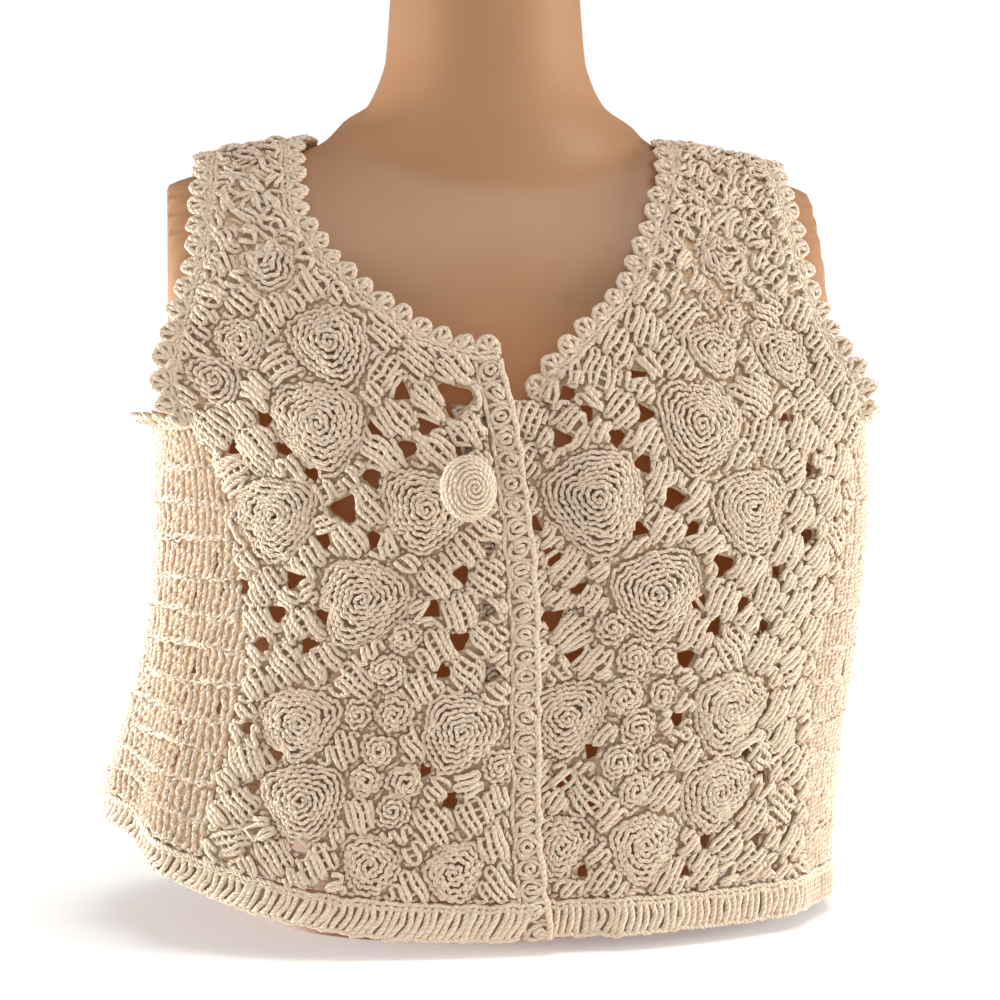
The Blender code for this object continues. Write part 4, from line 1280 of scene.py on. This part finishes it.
# ---- button
def make_button():
    """One run wound from pole to pole round a flattened ball, over a core."""
    across, up = (np.array(float(v)) for v in BUTTON_AT)
    point, axis = cloth.frame(cloth.around, across, up)
    middle = point + axis * (WALL / 2 + STEM_LENGTH + BUTTON_DEPTH / 2)
    axis = unit(axis + 0.3 * unit(np.cross([0, 0, 1.0], axis)))
    side = unit(np.cross([0, 0, 1.0], axis))
    over = np.cross(axis, side) * 1.14
    radius, depth = BUTTON_WIDTH / 2 - YARN / 2, BUTTON_DEPTH / 2 - YARN / 2

    def ball(angle, slant, lift):
        """Slant 0 is the front pole, pi the back one."""
        flat = side * np.cos(angle)[..., None] + over * np.sin(angle)[..., None]
        direction = flat * np.sin(slant)[..., None]
        facing = axis * np.cos(slant)[..., None]
        normal = unit(direction / radius + facing / depth)
        return middle + direction * radius + facing * depth + normal * lift[..., None], normal

    fine = np.linspace(0, math.pi, 400)
    profile = np.hypot(radius * np.cos(fine), depth * np.sin(fine))
    arc = np.concatenate([[0], np.cumsum((profile[1:] + profile[:-1]) / 2 * np.diff(fine))])
    turns = arc[-1] / BUTTON_PITCH
    t = np.linspace(0.1, turns - 0.1, int(turns * 56))
    slant = np.interp(t / turns * arc[-1], arc, fine)
    path = ball(2 * math.pi * t, slant, 0.25 * np.sin(t * 40) + 0.2 * np.sin(t * 7))
    length = lengths_along(path[0])
    at = np.arange(0, length[-1], 1.7)
    point, normal = (read_along(at, length, v) for v in path)
    stitches = sweep("button_stitches", point, normal, np.zeros(len(at), int),
                     np.full(len(at), 1.18), at, 6)
    rings, around = 20, 32
    s, a = (g.ravel() for g in np.meshgrid(np.linspace(0.02, math.pi - 0.02, rings),
                                           np.arange(around) * 2 * math.pi / around, indexing="ij"))
    point, _ = ball(a, s, np.full(s.shape, -0.7))
    faces = grid_faces(rings, around, closed=True)[:, TURN_OVER]
    caps = np.stack([np.arange(around), (rings - 1) * around + np.arange(around)[::-1]])
    # The core and the stem take the ground's cotton, painted darker as shade.
    core = mesh_object("button_core", point, [faces, caps], shade_painted_ground_cotton)
    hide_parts("button")
    stem = frame["nodes"]["button_shank"]
    stem.data.materials.clear()
    stem.data.materials.append(shade_painted_ground_cotton)
    return core, stitches


# ---- the dress form
def torso_depth(x, z, is_back):
    """Half depth of the torso at x and z, negative outside it."""
    low = np.zeros(np.shape(x))
    high = np.ones(np.shape(x))
    for _ in range(30):
        place = (low + high) / 2
        height, drop, _, _, width, _, _ = section(FORM_ROWS, place)
        below = height - drop * np.minimum(np.abs(x) / width, 1.2) ** 1.2 < z
        low = np.where(below, place, low)
        high = np.where(below, high, place)
    height, drop, _, _, width, front, back = section(FORM_ROWS, place)
    inside = 1 - (np.abs(x) / width) ** SQUARE
    depth = (back if is_back else front) * np.sign(inside) * np.abs(inside) ** (1 / SQUARE)
    over = z - (FORM_ROWS[-1][0] - FORM_ROWS[-1][1] * np.minimum(np.abs(x) / width, 1.2) ** 1.2)
    return np.where(over > 0, -np.sqrt(np.maximum(over, 0)) * 6, depth)


def soft_columns(rows, spread_mm):
    """The rows read every millimetre and blurred, so that no ring shows."""
    heights, *columns = zip(*rows)
    fine = np.arange(heights[0], heights[-1] + 1.0)
    reach = int(3 * spread_mm)
    blurred = []
    for column in columns:
        v = np.interp(fine, heights, column)
        ahead = 2 * v[0] - v[reach:0:-1]
        after = 2 * v[-1] - v[-2:-reach - 2:-1]
        longer = np.concatenate([ahead, v, after])
        blurred.append(np.convolve(longer, bell(reach, spread_mm), "valid"))
    return fine, blurred


NECK_FINE, NECK_COLUMNS = soft_columns(NECK_ROWS, 4)


def neck_depth(x, z, is_back):
    """Half depth of the neck, measured from the torso's axis."""
    width, depth, middle, edge = (np.interp(z, NECK_FINE, c) for c in NECK_COLUMNS)
    inside = 1 - ((x + NECK_LEAN * ease((z - 430) / 32)) / width) ** 2
    half = depth * np.sign(inside) * np.abs(inside) ** edge
    half = half + (middle if is_back else -middle)
    return np.where(z < NECK_FINE[0], -60.0, half)


def form_depth(x, z, is_back):
    """The deeper of torso and neck, with a soft join."""
    a, b = torso_depth(x, z, is_back), neck_depth(x, z, is_back)
    soft = np.sqrt((a - b) ** 2 + NECK_BLEND**2)
    return 0.5 * (a + b + soft) - NECK_BLEND / 4 * hill(a - b, 0, 25)


def form_slices(heights, turns):
    """Rings of points where each ray from the axis leaves the form."""
    angle = np.linspace(0, 2 * math.pi, turns, endpoint=False)
    z = heights[:, None] * np.ones(turns)
    direction = np.stack([np.sin(angle), -np.cos(angle)], -1)
    low = np.zeros(z.shape)
    high = np.full(z.shape, 240.0)
    for _ in range(26):
        reach = (low + high) / 2
        x, y = direction[:, 0] * reach, direction[:, 1] * reach
        depth = np.where(y > 0, form_depth(x, z, True), form_depth(x, z, False))
        inside = np.abs(y) < depth
        low = np.where(inside, reach, low)
        high = np.where(inside, high, reach)
    return np.stack([direction[:, 0] * low, direction[:, 1] * low, z], -1)


def blur_rings(rings, times):
    """Each ring moved half way to the mean of its two neighbours, so many times."""
    rings = rings.copy()
    for _ in range(times):
        beside = rings[:-2, :, :2] + rings[2:, :, :2]
        rings[1:-1, :, :2] = 0.5 * rings[1:-1, :, :2] + 0.25 * beside
    return rings


def make_form():
    """Fine rings of the torso and neck, blurred most on the stumps and round the neck; |x| is held
    to 184 mm by a soft minimum, which makes the flat stumps with a rounded edge."""
    turns = 144
    heights = np.concatenate([np.linspace(0, 276, 20), np.linspace(279, 480, 78),
                              np.linspace(484, NECK_TOP, 10)])
    rings = blur_rings(form_slices(heights, turns), 9)
    stump = ease((np.abs(rings[..., :1]) - 135) / 30)
    rings = rings * (1 - stump) + blur_rings(rings, 24) * stump
    round_neck = sum(w * np.roll(rings, s, 1) for w, s in zip(bell(9, 4.0), range(-9, 10)))
    share = ease((heights - 446) / 12)[:, None, None]
    rings = rings * (1 - share) + round_neck * share
    x, soft = rings[..., 0], 2.2
    rings[..., 0] = np.sign(x) * -soft * np.logaddexp(-np.abs(x) / soft, -STUMP_AT / soft)
    faces = grid_faces(len(heights), turns, closed=True)
    base = np.arange(turns)[None, ::-1]
    top = (len(heights) - 1) * turns + np.arange(turns)[None, :]
    form = mesh_object("dress_form", rings.reshape(-1, 3), [faces, base, top], plastic)
    form.data.set_sharp_from_angle(angle=math.radians(50))
    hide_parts("form_torso")
    return form


# ---- everything together
form = make_form()
fronts, bands, sides = ({word: make(word) for word in SIDES}
                        for make in (make_front, make_band, make_side))
back = make_back()
hem = make_hem()
neck_edging = make_neck_edging()
armhole_edgings = {word: make_armhole_edging(word) for word in SIDES}
button = make_button()

# Each entry above is a pair: the ground, which is the sheet, and the runs on it.
for word, width, area, more in (("right", 0.20, 0.056, button), ("left", 0.21, 0.058, ())):
    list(bands[word])
    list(more)
for word, width in (("right", 0.20), ("left", 0.17)):
    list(armhole_edgings[word])

# ---- studio
AMBIENT = 0.25             # of the soft light all round
BACKGROUND = 1.02          # of the plain background, where the camera looks straight at it

bpy.ops.mesh.primitive_plane_add(size=3.2, location=(0, 0, -0.0002))
floor = bpy.context.object
floor.name = "floor"
pale, pale_tree, pale_shader = start_material("pale_floor_paper", "#F6F5F3", 0.9)
pale_shader.inputs["Emission Color"].default_value = linear("#FFFFFF")
floor_place = add(pale_tree, "TexCoord")
distance = add(pale_tree, "VectorMath", {"operation": "LENGTH"},
               links={0: floor_place.outputs["Object"]})
glow = add(pale_tree, "MapRange",
           inputs={"From Min": 0.25, "From Max": 1.5, "To Min": 0.24, "To Max": 0.75},
           links={"Value": distance.outputs["Value"]})
pale_tree.links.new(glow.outputs["Result"], pale_shader.inputs["Emission Strength"])
floor.data.materials.append(pale)


def area_light(name, place, target, size, power, spread_degrees):
    data = bpy.data.lights.new(name, "AREA")
    data.shape = "RECTANGLE"
    data.size, data.size_y = size
    data.energy = power
    data.spread = math.radians(spread_degrees)
    lamp = bpy.data.objects.new(name, data)
    lamp.location = place
    direction = mathutils.Vector(np.array(target) - np.array(place))
    lamp.rotation_euler = direction.to_track_quat("-Z", "Y").to_euler()
    bpy.context.scene.collection.objects.link(lamp)


area_light("softbox_left", (-1.6, -0.35, 0.3), (0, 0, 0.15), (1.0, 0.7), 4.0, 120)
area_light("softbox_right", (1.6, -0.45, 0.35), (0, 0, 0.17), (1.0, 0.7), 10.0, 120)
area_light("rim_left", (-1.45, 0.42, 0.12), (0, 0, 0.12), (0.9, 0.3), 4.9, 50)
area_light("rim_right", (1.45, 0.42, 0.12), (0, 0, 0.12), (0.9, 0.3), 1.9, 50)
area_light("softbox_top", (0.2, -0.5, 2.0), (0, 0, 0.3), (1.6, 1.2), 12.0, 140)
area_light("softbox_front", (-0.2, -2.2, 0.7), (0, 0, 0.2), (1.4, 1.0), 2.2, 120)

world = bpy.data.worlds.new("studio")
bpy.context.scene.world = world
world.use_nodes = True
tree = world.node_tree
backdrop = tree.nodes["Background"]
seen_directly = add(tree, "LightPath")
strength = add(tree, "MapRange", inputs={"To Min": AMBIENT, "To Max": BACKGROUND},
               links={"Value": seen_directly.outputs["Is Camera Ray"]})
tree.links.new(strength.outputs["Result"], backdrop.inputs["Strength"])
backdrop.inputs["Color"].default_value = (1, 1, 1, 1)
bpy.context.scene.view_settings.view_transform = "Standard"

camera_data = bpy.data.cameras.new("camera")
camera_data.lens = LENS
camera_data.sensor_width = 36
camera = bpy.data.objects.new("camera", camera_data)
eye = np.array([EYE_DISTANCE * math.sin(EYE_TURN), -EYE_DISTANCE * math.cos(EYE_TURN), EYE_HEIGHT])
camera.location = (eye + FRAME_SHIFT) * MM
camera.rotation_euler = (math.pi / 2 - EYE_TILT, 0, EYE_TURN - AIM_OFF)
bpy.context.scene.collection.objects.link(camera)
bpy.context.scene.camera = camera
